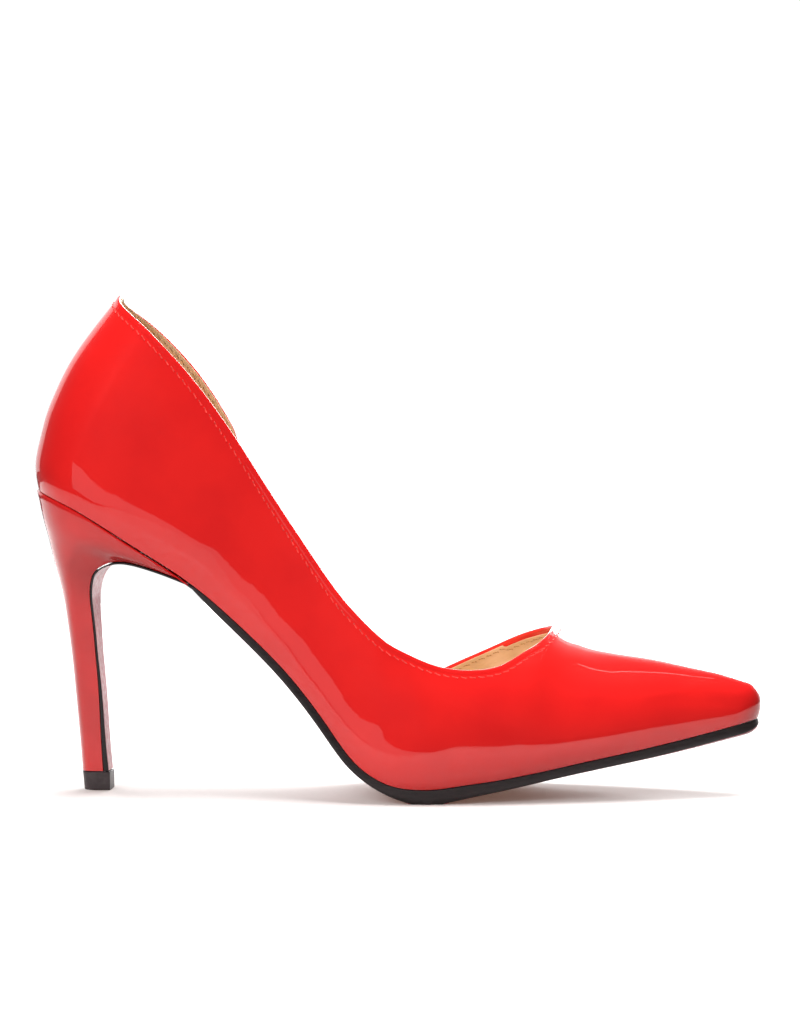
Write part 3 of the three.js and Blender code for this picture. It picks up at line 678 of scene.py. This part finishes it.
def lacquered_sole(name, main):
    """Sole leather with a sprayed and buffed lacquer: satin, with a close grain and faint scuffs."""
    values = {"IOR": 1.42, "Specular IOR Level": 0.3, "Coat Weight": 0.1, "Coat Roughness": 0.2}
    material, tree, shader, place = surface(name, values)
    clouds = speckle(tree, place, 14 * MM, 4.0)
    scuffs = speckle(tree, place, 2.0 * MM, 4.0, 0.7, stretch=(0.08, 1, 1))
    pale = tuple(c * 1.5 + 0.01 for c in main)
    tree.links.new(toned(tree, clouds, 0.35, 0.75, main, pale), shader.inputs["Base Color"])
    tree.links.new(ranged(tree, scuffs, 0.4, 0.75, 0.3, 0.55), shader.inputs["Roughness"])
    grain = bumped(tree, speckle(tree, place, 0.5 * MM, 3.0), 0.03 * MM)
    tree.links.new(bumped(tree, scuffs, 0.03 * MM, grain), shader.inputs["Normal"])
    return material


def moulded_rubber(name, main):
    """Injection moulded polyurethane: dull, with a spark-eroded mould's fine grain."""
    values = {"IOR": 1.5, "Specular IOR Level": 0.45}
    material, tree, shader, place = surface(name, values)
    # The mould's grain is about 0.05 mm, drawn at 0.25 mm so that it shows.
    grit = speckle(tree, place, 0.25 * MM, 3.0, 0.6)
    dusty = tuple(c * 1.7 + 0.012 for c in main)
    clouds = speckle(tree, place, 3 * MM, 3.0)
    tree.links.new(toned(tree, clouds, 0.4, 0.75, main, dusty), shader.inputs["Base Color"])
    tree.links.new(ranged(tree, grit, 0.3, 0.7, 0.42, 0.6), shader.inputs["Roughness"])
    tree.links.new(bumped(tree, grit, 0.03 * MM), shader.inputs["Normal"])
    return material


def twisted_thread(name, main):
    """Bonded polyester thread: three plies that show as short slanted ridges, softly shiny, with a
    painted highlight along the crests of the plies.
    """
    values = {"IOR": 1.55, "Sheen Weight": 0.2, "Roughness": 0.45}
    material, tree, shader, place = surface(name, values)
    # A ply turns every 0.7 mm.
    slant = add(tree, "ShaderNodeMapping", {"Rotation": (0.5, 0.6, 0.9)}, {"Vector": place})
    plies = add(
        tree, "ShaderNodeTexWave", {"Scale": 1 / (2.2 * MM), "Distortion": 0.6},
        {"Vector": slant.outputs[0]}
    ).outputs["Fac"]
    # Painted highlight: the colour runs paler where the plies' bump rises, as light would catch
    # their crests.
    pale = tuple(min(1, c * 1.6 + 0.01) for c in main)
    tree.links.new(toned(tree, plies, 0.1, 0.9, main, pale), shader.inputs["Base Color"])
    tree.links.new(bumped(tree, plies, 0.06 * MM), shader.inputs["Normal"])
    return material


def glowing_paper_sweep(name):
    """Matt white background paper, with a fibre too fine to read as anything but softness. It glows
    faintly warm: painted light that lifts it towards white and tints its shadows as light bounced
    off the red shoe would.
    """
    values = {
        "Roughness": 0.9, "Specular IOR Level": 0.1,
        # Painted light: a faint warm glow, which fills the paper's shadows with the tint of bounce
        # from the red shoe.
        "Emission Color": (*linear("#ffd2b6"), 1), "Emission Strength": 0.12,
    }
    material, tree, shader, place = surface(name, values)
    fibre = speckle(tree, place, 2 * MM, 2.0)
    white, shade = (0.8, 0.8, 0.8), (0.77, 0.77, 0.77)
    tree.links.new(toned(tree, fibre, 0.3, 0.7, white, shade), shader.inputs["Base Color"])
    return material


# Pieces

def patent_shell(last):
    """The patent layer of the upper, with its folded edge and the pull of the stitches."""
    sizes = last.sizes
    fold = sizes.patent / 2

    def relief(grid, edge):
        flat = grid.reshape(-1, 3)
        away = near_edge(flat, edge)
        stitched = -0.13 * MM * np.exp(-((away - sizes.stitch_inset) / (0.5 * MM)) ** 2)
        plump = 0.1 * MM * np.exp(-(away / (1.2 * MM)) ** 2)
        uneven = ripple(flat, 0.024 * MM) + creases(flat)
        return (stitched + plump + uneven).reshape(grid.shape[:2])

    return shell(last, 0.0, (fold, fold), 0.0, sizes.patent, relief)


# A lockstitch pulls each stitch a little aslant, and leaves a small hole between two.
STITCH_SLANT = radians(12)
STITCH_HALF = 0.39
STITCH_RINGS = 9
STITCH_SIDES = 8


def tube_faces(rings, sides):
    """Faces of a closed tube of stacked rings."""
    faces = []
    for low in range(0, (rings - 1) * sides, sides):
        for j in range(sides):
            k = (j + 1) % sides
            faces.append((low + j, low + k, low + sides + k, low + sides + j))
    faces.append(range(sides - 1, -1, -1))
    faces.append(range((rings - 1) * sides, rings * sides))
    return faces


def stitch_row(name, path, out, along, last, thread, slot, sag=0.0):
    """One mesh of short bowed stitches laid along a path."""
    half = STITCH_HALF * last.sizes.stitch_pitch
    radius = last.sizes.thread / 2
    rings = np.linspace(-1, 1, STITCH_RINGS)
    turns = np.arange(STITCH_SIDES) * (2 * pi / STITCH_SIDES)
    bow = radius * (1.5 * (1 - rings ** 2) - 0.75)
    girth = radius * np.sqrt(np.clip(1.06 - rings ** 4, 0.05, 1))
    tube = tube_faces(STITCH_RINGS, STITCH_SIDES)
    points, faces = [], []
    for start, normal, tangent in zip(path, out, along):
        tangent = tangent * cos(STITCH_SLANT) + np.cross(normal, tangent) * sin(STITCH_SLANT)
        side = np.cross(normal, tangent)
        spine = start + tangent * (rings * half)[:, None] + normal * (bow - sag)[:, None]
        ring = spine[:, None] + (
            normal * np.cos(turns)[:, None] + side * np.sin(turns)[:, None]
        ) * girth[:, None, None]
        base = STITCH_RINGS * STITCH_SIDES * len(points)
        points.append(ring.reshape(-1, 3))
        faces += [tuple(base + corner for corner in face) for face in tube]
    return make_piece(name, np.concatenate(points), faces, [thread], slot)


def spaced(loop, pitch):
    """Points at an even pitch round a closed loop."""
    closed = np.vstack([loop, loop[:1]])
    run = np.concatenate([[0], np.cumsum(np.linalg.norm(np.diff(closed, axis=0), axis=1))])
    count = int(run[-1] / pitch)
    wanted = np.arange(count) * run[-1] / count
    return np.stack([np.interp(wanted, run, closed[:, axis]) for axis in range(3)], -1)


def stitch_places(faces, points, loop, pitch):
    """Where a loop's stitches lie on a surface: points, normals and directions."""
    tree = BVHTree.FromPolygons([tuple(p) for p in points], faces)
    places, normals = [], []
    for wanted in spaced(loop, pitch):
        found, normal, _, _ = tree.find_nearest(Vector(wanted))
        places.append(found)
        normals.append(normal)
    places, normals = np.array(places), np.array(normals)
    along = np.roll(places, -1, 0) - np.roll(places, 1, 0)
    along -= normals * (along * normals).sum(1)[:, None]
    return places, normals, along / np.linalg.norm(along, axis=1, keepdims=True)


# The outsole and the heel stand this far inside the feather line.
INSET = 0.4 * MM
# Outsole under the foot: how far ahead of the breast it turns down, its fan at the toe as a share
# of the toe's round, its thinning at the toe and what is left there, and how far it bellies out.
WEDGE_LEAD = 2 * MM
NOSE_FAN = 2.2
NOSE_THIN = 5 * MM
NOSE_EDGE = 0.35
BELLY = 0.9 * MM
# Sections of the outsole's fan, of its foot and of its flap.
SOLE_STEPS = (30, 150, 120)


def sole_sections(last):
    """Outsole sections from the toe back under the foot, then down the heel's breast."""
    sizes = last.sizes
    front = last.length - INSET
    wedge = sizes.seat_length + WEDGE_LEAD
    nose = front - NOSE_FAN * last.toe_round
    x = np.concatenate([
        front - (front - nose) * (1 - np.cos((pi / 2) * np.linspace(0, 1, SOLE_STEPS[0])))[:-1],
        np.linspace(nose, wedge, SOLE_STEPS[1]),
    ])
    rows = np.array([
        (0.226, sizes.sole_flap), (0.255, 0.7 * sizes.sole_shank), (0.29, 0.9 * sizes.sole_shank),
        (0.4, sizes.sole_shank), (0.47, sizes.sole_shank), (0.51, 0.74 * sizes.sole_tread),
        (0.54, sizes.sole_tread), (0.58, sizes.sole_tread), (0.63, 0.83 * sizes.sole_tread),
        (0.69, 1.05 * sizes.sole_forepart), (0.8, sizes.sole_forepart), (1.0, sizes.sole_forepart),
    ])
    thick = spline(rows, 1)(x / last.length)
    nose_share = np.clip((front - x) / NOSE_THIN, 0, 1)
    thick = thick * (NOSE_EDGE + (1 - NOSE_EDGE) * np.sqrt(1 - (1 - nose_share) ** 2))
    top = last.raised(x, 0 * x, -last.gap)
    lateral = last.toe_half("lateral", x, INSET)
    medial = last.toe_half("medial", x, INSET)
    swell = np.where(thick / sizes.sole_shank > 0.8, 1.0, 0.4) * BELLY
    level = np.linspace(TOP_LEVEL, 0, SOLE_STEPS[2])
    breast = heel_end(last, level, "breast")
    width = last.heel["width"](level)
    seat = [last.seat_half(side, sizes.seat_length, INSET) for side in SIDES]
    top = np.concatenate([top, breast])
    low = np.clip(1 - level / 3, 0, 1)
    thick = np.concatenate([thick, sizes.sole_flap + (sizes.flap_foot - sizes.sole_flap) * low])
    lateral = np.concatenate([lateral, -seat[0] * width])
    medial = np.concatenate([medial, seat[1] * width])
    swell = np.concatenate([swell, 0 * level])
    in_flap = np.arange(len(top)) >= len(x)
    along = np.gradient(top, axis=0)
    along /= np.linalg.norm(along, axis=1, keepdims=True)
    down = np.stack([-along[:, 2], 0 * along[:, 1], along[:, 0]], -1)
    top = top + np.where(in_flap, last.gap, 0)[:, None] * down
    return top, down, thick, lateral, medial, swell, in_flap


def seat_line(last, x, share):
    """Height of the heel's top under the seat, a little lower towards the breast."""
    return last.bottom(x) - last.gap * (2 - share)


def heel_end(last, level, name):
    """The heel's breast or back at each level, on the centre line."""
    sizes = last.sizes
    foot = sizes.tip_height + last.gap
    x = last.heel[name](level) * sizes.seat_length
    rise = foot + last.heel[name + "_rise"](level) * (sizes.heel_height - foot)
    z = np.where(level >= TOP_LEVEL, seat_line(last, x, 0 if name == "breast" else 1), rise)
    return np.stack([x, 0 * x, z], -1)


# The outsole's section: share of the half width, share of the thickness, share of the swell.
SOLE_SECTION = (
    (1.0, 0.0, 0), (1.0, 0.3, 0), (1.0, 0.62, 0), (0.996, 0.86, 0), (0.983, 0.97, 0.03),
    (0.955, 1.0, 0.1), (0.9, 1.0, 0.24), (0.8, 1.0, 0.48), (0.65, 1.0, 0.78), (0.4, 1.0, 0.97),
    (0.0, 1.0, 1.0),
)


# Strips on each side of the section that keep the edge's ink.
EDGE_STRIPS = 4
# What lies lower than this is pressed flat on the floor.
TREAD_REACH = 0.4 * MM


def sole_mesh(last):
    """The outsole, with a flat tread where it stands on the floor, and which faces are inked."""
    top, down, thick, lateral, medial, swell, in_flap = sole_sections(last)
    ring = [(-w, t, s) for w, t, s in SOLE_SECTION] + [
        (w, t, s) for w, t, s in SOLE_SECTION[-2::-1]
    ]
    grid = np.zeros((len(top), len(ring), 3))
    for k, (w, t, s) in enumerate(ring):
        middle, reach = (lateral + medial) / 2, (medial - lateral) / 2
        bite = np.minimum(1, np.abs(reach) / (6 * MM))
        lowered = np.clip(((top + down * thick[:, None])[:, 2] - 1 * MM) / (12 * MM), 0, 1)
        depth = thick * t + swell * s * np.where(in_flap, 1, lowered) * bite
        grid[:, k] = top + down * depth[:, None]
        grid[:, k, 1] = middle + reach * w
    ground = (grid[..., 2] < TREAD_REACH) & ~in_flap[:, None]
    grid[..., 2] = np.where(ground, np.maximum(grid[..., 2], 0) * 0.02, grid[..., 2])
    count, columns = grid.shape[:2]
    strip = np.tile(np.arange(columns - 1), count - 1)
    under = (strip >= EDGE_STRIPS) & (strip < columns - 1 - EDGE_STRIPS)
    closing = []
    for row in range(0, (count - 1) * columns, columns):
        ahead = row + columns
        closing.append((ahead - 1, ahead + columns - 1, ahead, row))
    ends = [range(columns - 1, -1, -1), range((count - 1) * columns, count * columns)]
    faces = grid_faces(count, columns).tolist() + closing + ends
    looks = under.astype(int).tolist() + [0] * (len(closing) + len(ends))
    return grid.reshape(-1, 3), faces, looks


def heel_point(last, side, level, share):
    """Point on the heel block, from the breast at share 0 to the back at share 1."""
    sizes = last.sizes
    front, back = heel_end(last, level, "breast"), heel_end(last, level, "back")
    point = front + (back - front) * share[..., None]
    ends = seat_line(last, front[..., 0], 0), seat_line(last, back[..., 0], 1)
    straight = ends[0] + (ends[1] - ends[0]) * share
    sag = (seat_line(last, point[..., 0], share) - straight) * (level / TOP_LEVEL) ** 8
    outline = sizes.seat_length + (last.seat_back - sizes.seat_length) * share
    half = last.seat_half(side, outline, INSET) * last.heel["width"](level)
    return np.stack([point[..., 0], SIDES[side] * half, point[..., 2] + sag], -1)


def loop_stack(levels):
    """A solid from stacked closed outlines."""
    grid = np.stack(levels)
    count, columns = grid.shape[:2]
    closed = np.concatenate([grid, grid[:, :1]], 1)
    width = columns + 1
    top = (count - 1) * width
    faces = grid_faces(count, width).tolist()
    faces.append(range(columns - 1, -1, -1))
    faces.append(range(top, top + columns))
    points, faces, _ = welded(closed.reshape(-1, 3), faces)
    return points, faces


def shrunk(outline, inset):
    """A level outline drawn in towards its middle."""
    away = outline - outline.mean(0)
    away[:, 2] = 0
    return outline - away / np.linalg.norm(away, axis=1, keepdims=True) * inset


# Points along one side of the heel's outline, and how far they crowd towards the back.
OUTLINE_STEPS = 40
OUTLINE_CROWD = 0.7
# Levels of the heel cover, those that its rounded rim leaves out, and the rings of that rim.
HEEL_STEPS = 120
RIM_CLEAR = 3
RIM_TURNS = 8
# Dip of the rim at the back, which clears the counter.
BACK_DIP = 0.35 * MM


def heel_outline(last, level, inset=0.0):
    """Closed outline of the heel at a level: breast to back along one side, and forward again."""
    even = np.linspace(0, 1, OUTLINE_STEPS)
    share = np.sin((pi / 2) * even) * OUTLINE_CROWD + (1 - OUTLINE_CROWD) * even
    lateral, medial = (heel_point(last, side, level + 0 * share, share) for side in SIDES)
    return shrunk(np.concatenate([lateral, medial[-2::-1]]), inset)


def heel_mesh(last):
    """The heel cover, with its rim rounded under the seat."""
    rim = last.sizes.rim_round
    levels = [
        heel_outline(last, TOP_LEVEL * i / HEEL_STEPS) for i in range(HEEL_STEPS - RIM_CLEAR)
    ]
    back = 1 - np.abs(np.linspace(-1, 1, len(levels[0])))
    for turn in np.linspace(0, pi / 2, RIM_TURNS):
        ring = heel_outline(last, TOP_LEVEL, rim * (1 - cos(turn)))
        ring[:, 2] -= rim * (1 - sin(turn)) + BACK_DIP * back ** 3
        levels.append(ring)
    return loop_stack(levels)


def tip_mesh(last):
    """The top piece: it reaches under the outsole's flap, tapers to the floor and has soft rims."""
    outline = heel_outline(last, 0.0)
    back = outline[:, 0].min()
    reach = last.gap + last.sizes.flap_foot + INSET
    front = outline[:, 0].max()
    stretch = (front + reach - back) / (front - back)
    levels = []
    height = last.sizes.tip_height
    soft = 0.35 * MM
    profile = [(0.0, 0.6 * soft), (0.15 * soft, 0.2 * soft), (0.6 * soft, 0.0)]
    profile += [(height * s, 0.0) for s in (0.2, 0.4, 0.6, 0.8)]
    profile += [(height - 0.6 * soft, 0.0), (height - 0.15 * soft, 0.2 * soft), (height, 0.6 * soft)]
    for z, inset in profile:
        ring = outline.copy()
        taper = 0.6 * MM * (1 - z / height)
        ring[:, 0] = back + (ring[:, 0] - back) * stretch
        share = (ring[:, 0] - back) / (front + reach - back)
        ring[:, 0] += taper * (1 - share)
        ring[:, 1] *= 1 - taper / (12 * MM)
        ring = shrunk(ring, inset)
        ring[:, 2] = z
        levels.append(ring)
    return loop_stack(levels)


def sock_mesh(last):
    """Insole with its leather sock: a thin board with a soft edge, dished a little to the foot."""
    sizes = last.sizes
    lift = 1.9 * MM
    board = 2.4 * MM
    soft_edge = 1.2 * MM
    edge_drop = 0.9 * MM
    dip = 0.5 * MM
    clear = sizes.wall + 0.25 * MM
    back = last.seat_back + clear
    front = last.length - 0.9 * last.toe_round
    round_from = last.toe_anchor - last.toe_round
    share = (1 - np.cos(pi * np.linspace(0, 1, 150))) / 2
    x = front + (back - front) * share
    sides = {}
    for side, sign in SIDES.items():
        plain = sign * (last.half(side, np.clip(x, last.heel_anchor, round_from)) - clear)
        turn = np.clip((last.heel_anchor - x) / (last.heel_anchor - back), 0, 1)
        rounded = plain * np.sqrt(1 - turn ** 2)
        centre = float(last.plan["crest"](round_from / last.length) * sizes.ball_width)
        nose = np.clip((x - round_from) / (front - round_from), 0, 1)
        toe = centre + sign * np.abs(plain - centre) * np.sqrt(np.maximum(1 - nose ** 2, 0.0004))
        sides[side] = np.where(x > round_from, toe, rounded)
    columns = 25
    across = np.sin((pi / 2) * np.linspace(-1, 1, columns))
    middle = (sides["lateral"] + sides["medial"]) / 2
    reach = (sides["medial"] - sides["lateral"]) / 2
    y = middle[:, None] + reach[:, None] * across
    wide = np.repeat(x[:, None], columns, 1)
    edge = np.clip(1 - (1 - np.abs(across)) * reach[:, None] / soft_edge, 0, 1)
    dish = dip * np.abs(across) ** 2 * np.clip(reach[:, None] / (20 * MM), 0, 1)
    top = last.raised(wide, y, lift + board + dish - edge_drop * edge ** 2)
    low = last.raised(wide, y, np.full_like(wide, lift))
    size = top.shape[0] * columns
    points = np.concatenate([top.reshape(-1, 3), low.reshape(-1, 3)])
    faces = grid_faces(len(x), columns, flip=True).tolist()
    faces += grid_faces(len(x), columns, offset=size).tolist()
    for i in range(len(x) - 1):
        for k, flip in ((0, False), (columns - 1, True)):
            a, b = i * columns + k, (i + 1) * columns + k
            face = (a, b, b + size, a + size)
            faces.append(face[::-1] if flip else face)
    end = (len(x) - 1) * columns
    for k in range(columns - 1):
        faces.append((k + 1, k, k + size, k + 1 + size))
        faces.append((end + k, end + k + 1, end + k + 1 + size, end + k + size))
    points, faces, _ = welded(points, faces)
    return points, faces


# Operators

class PumpOperator:
    """What every operator of the pump shares."""

    bl_options = {"REGISTER", "UNDO"}

    def last(self, context):
        return Last(context.scene.pump_sizes)


class PUMP_OT_upper(PumpOperator, bpy.types.Operator):
    """Patent leather of the upper, with its folded topline and the row of stitches"""

    bl_idname = "pump.upper"
    bl_label = "Upper"

    def execute(self, context):
        last = self.last(context)
        tones = context.scene.pump_colours
        patent = patent_leather("lacquered_patent_leather", tones.patent, tones.patent_deep)
        points, faces, (edge, out, beyond) = patent_shell(last)
        make_piece("upper_patent", points, faces, [patent], "patent_upper", nodes=("upper",))
        thread = twisted_thread("bonded_polyester_thread", tones.thread)
        inset = last.sizes.stitch_inset + last.sizes.patent / 2
        place, normal, along = stitch_places(
            faces, points, edge - beyond * inset + out * 0.2 * MM, last.sizes.stitch_pitch)
        stitch_row("topline_stitches", place, normal, along, last, thread, "patent_upper")
        return {"FINISHED"}


class PUMP_OT_lining(PumpOperator, bpy.types.Operator):
    """Leather lining inside the upper, ending below the folded topline"""

    bl_idname = "pump.lining"
    bl_label = "Lining"

    def execute(self, context):
        last = self.last(context)
        sizes = last.sizes
        tones = context.scene.pump_colours
        leather = lining_leather("rolled_goatskin_lining", tones.lining, tones.lining_dark)
        # Round the throat the lining ends below the folded band, and behind it just short of the
        # topline. It starts a little above the sole.
        drops = sizes.fold_band + 0.3 * MM, sizes.patent / 2 - 0.15 * MM
        start = 1.4 * MM
        outer, inner = sizes.patent + 0.03 * MM, sizes.wall + 0.05 * MM
        points, faces, (edge, out, beyond) = shell(last, start, drops, outer, inner)
        make_piece("upper_lining", points, faces, [leather], "insole_sock")
        thread = twisted_thread("waxed_lining_thread", tones.lining_thread)
        inner = edge - out * (sizes.wall + 0.3 * MM) - beyond * 1.1 * MM
        place, normal, along = stitch_places(faces, points, inner, sizes.stitch_pitch)
        stitch_row("lining_stitches", place, normal, along, last, thread, "insole_sock", 0.05 * MM)
        return {"FINISHED"}


class PUMP_OT_outsole(PumpOperator, bpy.types.Operator):
    """Outsole with its inked edge, under the foot and down the heel's breast"""

    bl_idname = "pump.outsole"
    bl_label = "Outsole"

    def execute(self, context):
        last = self.last(context)
        tones = context.scene.pump_colours
        edge = inked_edge("inked_sole_edge", tones.edge)
        under = lacquered_sole("lacquered_sole_leather", tones.underside)
        points, faces, looks = sole_mesh(last)
        make_piece("sole_leather", points, faces, [edge, under], "outsole",
                   nodes=("outsole",), indices=looks)
        return {"FINISHED"}


class PUMP_OT_heel(PumpOperator, bpy.types.Operator):
    """Heel block in its patent cover, and the moulded top piece under it"""

    bl_idname = "pump.heel"
    bl_label = "Heel"

    def execute(self, context):
        last = self.last(context)
        tones = context.scene.pump_colours
        deep = tuple(c * 0.86 for c in tones.heel)
        cover = patent_leather("patent_heel_cover", tones.heel, deep)
        make_piece("heel_cover", *heel_mesh(last), [cover], "heel_cover", nodes=("heel",))
        rubber = moulded_rubber("moulded_polyurethane", tones.rubber)
        make_piece("top_piece", *tip_mesh(last), [rubber], "heel_tip", nodes=("heel_tip",))
        return {"FINISHED"}


class PUMP_OT_insole(PumpOperator, bpy.types.Operator):
    """Insole board with its leather sock"""

    bl_idname = "pump.insole"
    bl_label = "Insole"

    def execute(self, context):
        last = self.last(context)
        tones = context.scene.pump_colours
        leather = lining_leather("rolled_goatskin_sock", tones.sock, tones.lining_dark)
        make_piece("sock", *sock_mesh(last), [leather], "insole_sock", nodes=("insole",))
        return {"FINISHED"}


FLOOR_REACH = 0.85
# White cards by their corners, in metres.
CARDS = (
    ("rear_card", ((-1.6, 1.3, 0), (1.6, 1.3, 0), (1.6, 1.3, 1.1), (-1.6, 1.3, 1.1))),
    ("front_lip", ((-1.4, -0.84, 0), (0.1, -0.84, 0), (-1.4, -0.84, 0.28))),
)
# The camera: turn towards the toe, rise, distance in metres, lens in mm, and where it aims.
CAMERA_TURN = radians(5.2)
CAMERA_RISE = radians(3.0)
CAMERA_DISTANCE = 1.5
LENS = 165.25
AIM = (0.000967, 0.0011248, 0.0924)
# Lights: place, aim, width, height, watts, and whether they show in gloss.
LIGHTS = (
    ("overhead_softbox", (0.1, 0.12, 1.15), (0.02, 0, 0.05), 0.9, 0.7, 18.5, False),
    ("overhead_strip", (0.05, -0.02, 1.1), (0.03, 0, 0.05), 1.1, 0.03, 0.4, True),
    ("front_fill", (-0.6, -1.4, 0.75), (-0.04, 0, 0.08), 1.4, 0.9, 21.0, False),
    ("rear_fill", (-0.9, 1.1, 0.9), (0, 0, 0.08), 0.9, 0.9, 9.0, False),
    ("rear_lamp", (0.3, 0.9, 0.36), (0.06, 0, 0.05), 1.0, 0.42, 12.0, True),
    ("table_bounce", (-0.05, -0.45, 0.02), (-0.05, 0, 0.06), 1.0, 0.4, 1.1, False),
)


class PUMP_OT_stage(PumpOperator, bpy.types.Operator):
    """Paper floor, white surround, soft studio lights and the camera"""

    bl_idname = "pump.stage"
    bl_label = "Stage"

    def execute(self, context):
        scene = context.scene
        world = bpy.data.worlds.new("dim_studio")
        world.use_nodes = True
        world.node_tree.nodes["Background"].inputs["Color"].default_value = (0.06, 0.06, 0.065, 1)
        scene.world = world
        scene.view_settings.view_transform = "Standard"
        self.floor(scene)
        self.surround(scene)
        self.cards(scene)
        for name, place, aim, width, height, watts, in_gloss in LIGHTS:
            data = bpy.data.lights.new(name, "AREA")
            data.shape = "RECTANGLE"
            data.size, data.size_y = width, height
            data.energy = watts
            light = bpy.data.objects.new(name, data)
            light.location = place
            light.rotation_euler = (Vector(aim) - Vector(place)).to_track_quat("-Z", "Y").to_euler()
            light.visible_glossy = in_gloss
            light.visible_camera = False
            scene.collection.objects.link(light)
        self.camera(scene)
        return {"FINISHED"}

    def floor(self, scene):
        """A round table of white paper, whose edge ends the floor's reflection in the gloss."""
        turns = np.linspace(0, 2 * pi, 97)[:-1]
        points = [(FLOOR_REACH * cos(t), FLOOR_REACH * sin(t), 0) for t in turns]
        mesh = bpy.data.meshes.new("floor")
        mesh.from_pydata(points, [], [tuple(range(len(points)))])
        mesh.materials.append(glowing_paper_sweep("glowing_background_paper"))
        floor = bpy.data.objects.new("floor", mesh)
        floor.visible_diffuse = False
        scene.collection.objects.link(floor)

    def surround(self, scene):
        """A white dome that only the camera sees, so the gloss keeps its dark surroundings."""
        mesh = bpy.data.meshes.new("surround")
        rings, turns, radius = 12, 48, 6.0
        grid = np.array([[(
            radius * cos(t) * cos(p), radius * cos(t) * sin(p), radius * sin(t)
        ) for p in np.linspace(0, 2 * pi, turns + 1)] for t in np.linspace(-0.6, pi / 2, rings)])
        mesh.from_pydata(grid.reshape(-1, 3).tolist(), [], grid_faces(rings, turns + 1).tolist())
        glow = bpy.data.materials.new("white_surround")
        glow.use_nodes = True
        tree = glow.node_tree
        tree.nodes.clear()
        light = add(tree, "ShaderNodeEmission", {"Color": (1, 1, 1, 1), "Strength": 1.05})
        add(tree, "ShaderNodeOutputMaterial", links={"Surface": light.outputs[0]})
        mesh.materials.append(glow)
        dome = bpy.data.objects.new("surround", mesh)
        for ray in ("diffuse", "glossy", "transmission", "shadow", "volume_scatter"):
            setattr(dome, "visible_" + ray, False)
        scene.collection.objects.link(dome)

    def cards(self, scene):
        """White cards that only the gloss sees: the wall behind, and the table's raised lip."""
        for name, corners in CARDS:
            mesh = bpy.data.meshes.new(name)
            mesh.from_pydata(corners, [], [range(len(corners))])
            mesh.materials.append(bpy.data.materials["white_surround"])
            card = bpy.data.objects.new(name, mesh)
            for ray in ("camera", "diffuse", "shadow"):
                setattr(card, "visible_" + ray, False)
            scene.collection.objects.link(card)

    def camera(self, scene):
        """A long lens at the photograph's angle, a little above and towards the toe."""
        turn, rise = CAMERA_TURN, CAMERA_RISE
        back = Vector((sin(turn) * cos(rise), -cos(turn) * cos(rise), sin(rise)))
        right = Vector((cos(turn), sin(turn), 0))
        data = bpy.data.cameras.new("camera")
        data.lens = LENS
        data.sensor_width = 36
        camera = bpy.data.objects.new("camera", data)
        matrix = Matrix((right, back.cross(right), back)).transposed().to_4x4()
        matrix.translation = Vector(AIM) + back * CAMERA_DISTANCE
        camera.matrix_world = matrix
        scene.collection.objects.link(camera)
        scene.camera = camera


class PUMP_PT_panel(bpy.types.Panel):
    """Lists the pump's pieces and its stage"""

    bl_idname = "PUMP_PT_panel"
    bl_label = "Patent Pump"
    bl_space_type = "VIEW_3D"
    bl_region_type = "UI"
    bl_category = "Pump"

    def draw(self, context):
        layout = self.layout
        for operator in OPERATORS:
            layout.operator(operator.bl_idname)
        for group in (context.scene.pump_sizes, context.scene.pump_colours):
            box = layout.box()
            for name in group.bl_rna.properties.keys():
                if name not in ("rna_type", "name"):
                    box.prop(group, name)


OPERATORS = (
    PUMP_OT_stage, PUMP_OT_upper, PUMP_OT_lining, PUMP_OT_outsole, PUMP_OT_heel, PUMP_OT_insole
)
CLASSES = (PumpSizes, PumpColours) + OPERATORS + (PUMP_PT_panel,)


def register():
    for cls in CLASSES:
        bpy.utils.register_class(cls)
    bpy.types.Scene.pump_sizes = bpy.props.PointerProperty(type=PumpSizes)
    bpy.types.Scene.pump_colours = bpy.props.PointerProperty(type=PumpColours)


def unregister():
    del bpy.types.Scene.pump_colours
    del bpy.types.Scene.pump_sizes
    for cls in reversed(CLASSES):
        bpy.utils.unregister_class(cls)


def main():
    """Makes the stage and every piece."""
    register()
    bpy.ops.pump.stage()
    bpy.ops.pump.upper()
    bpy.ops.pump.lining()
    bpy.ops.pump.outsole()
    bpy.ops.pump.heel()
    bpy.ops.pump.insole()
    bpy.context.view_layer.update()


if __name__ == "__main__":
    main()
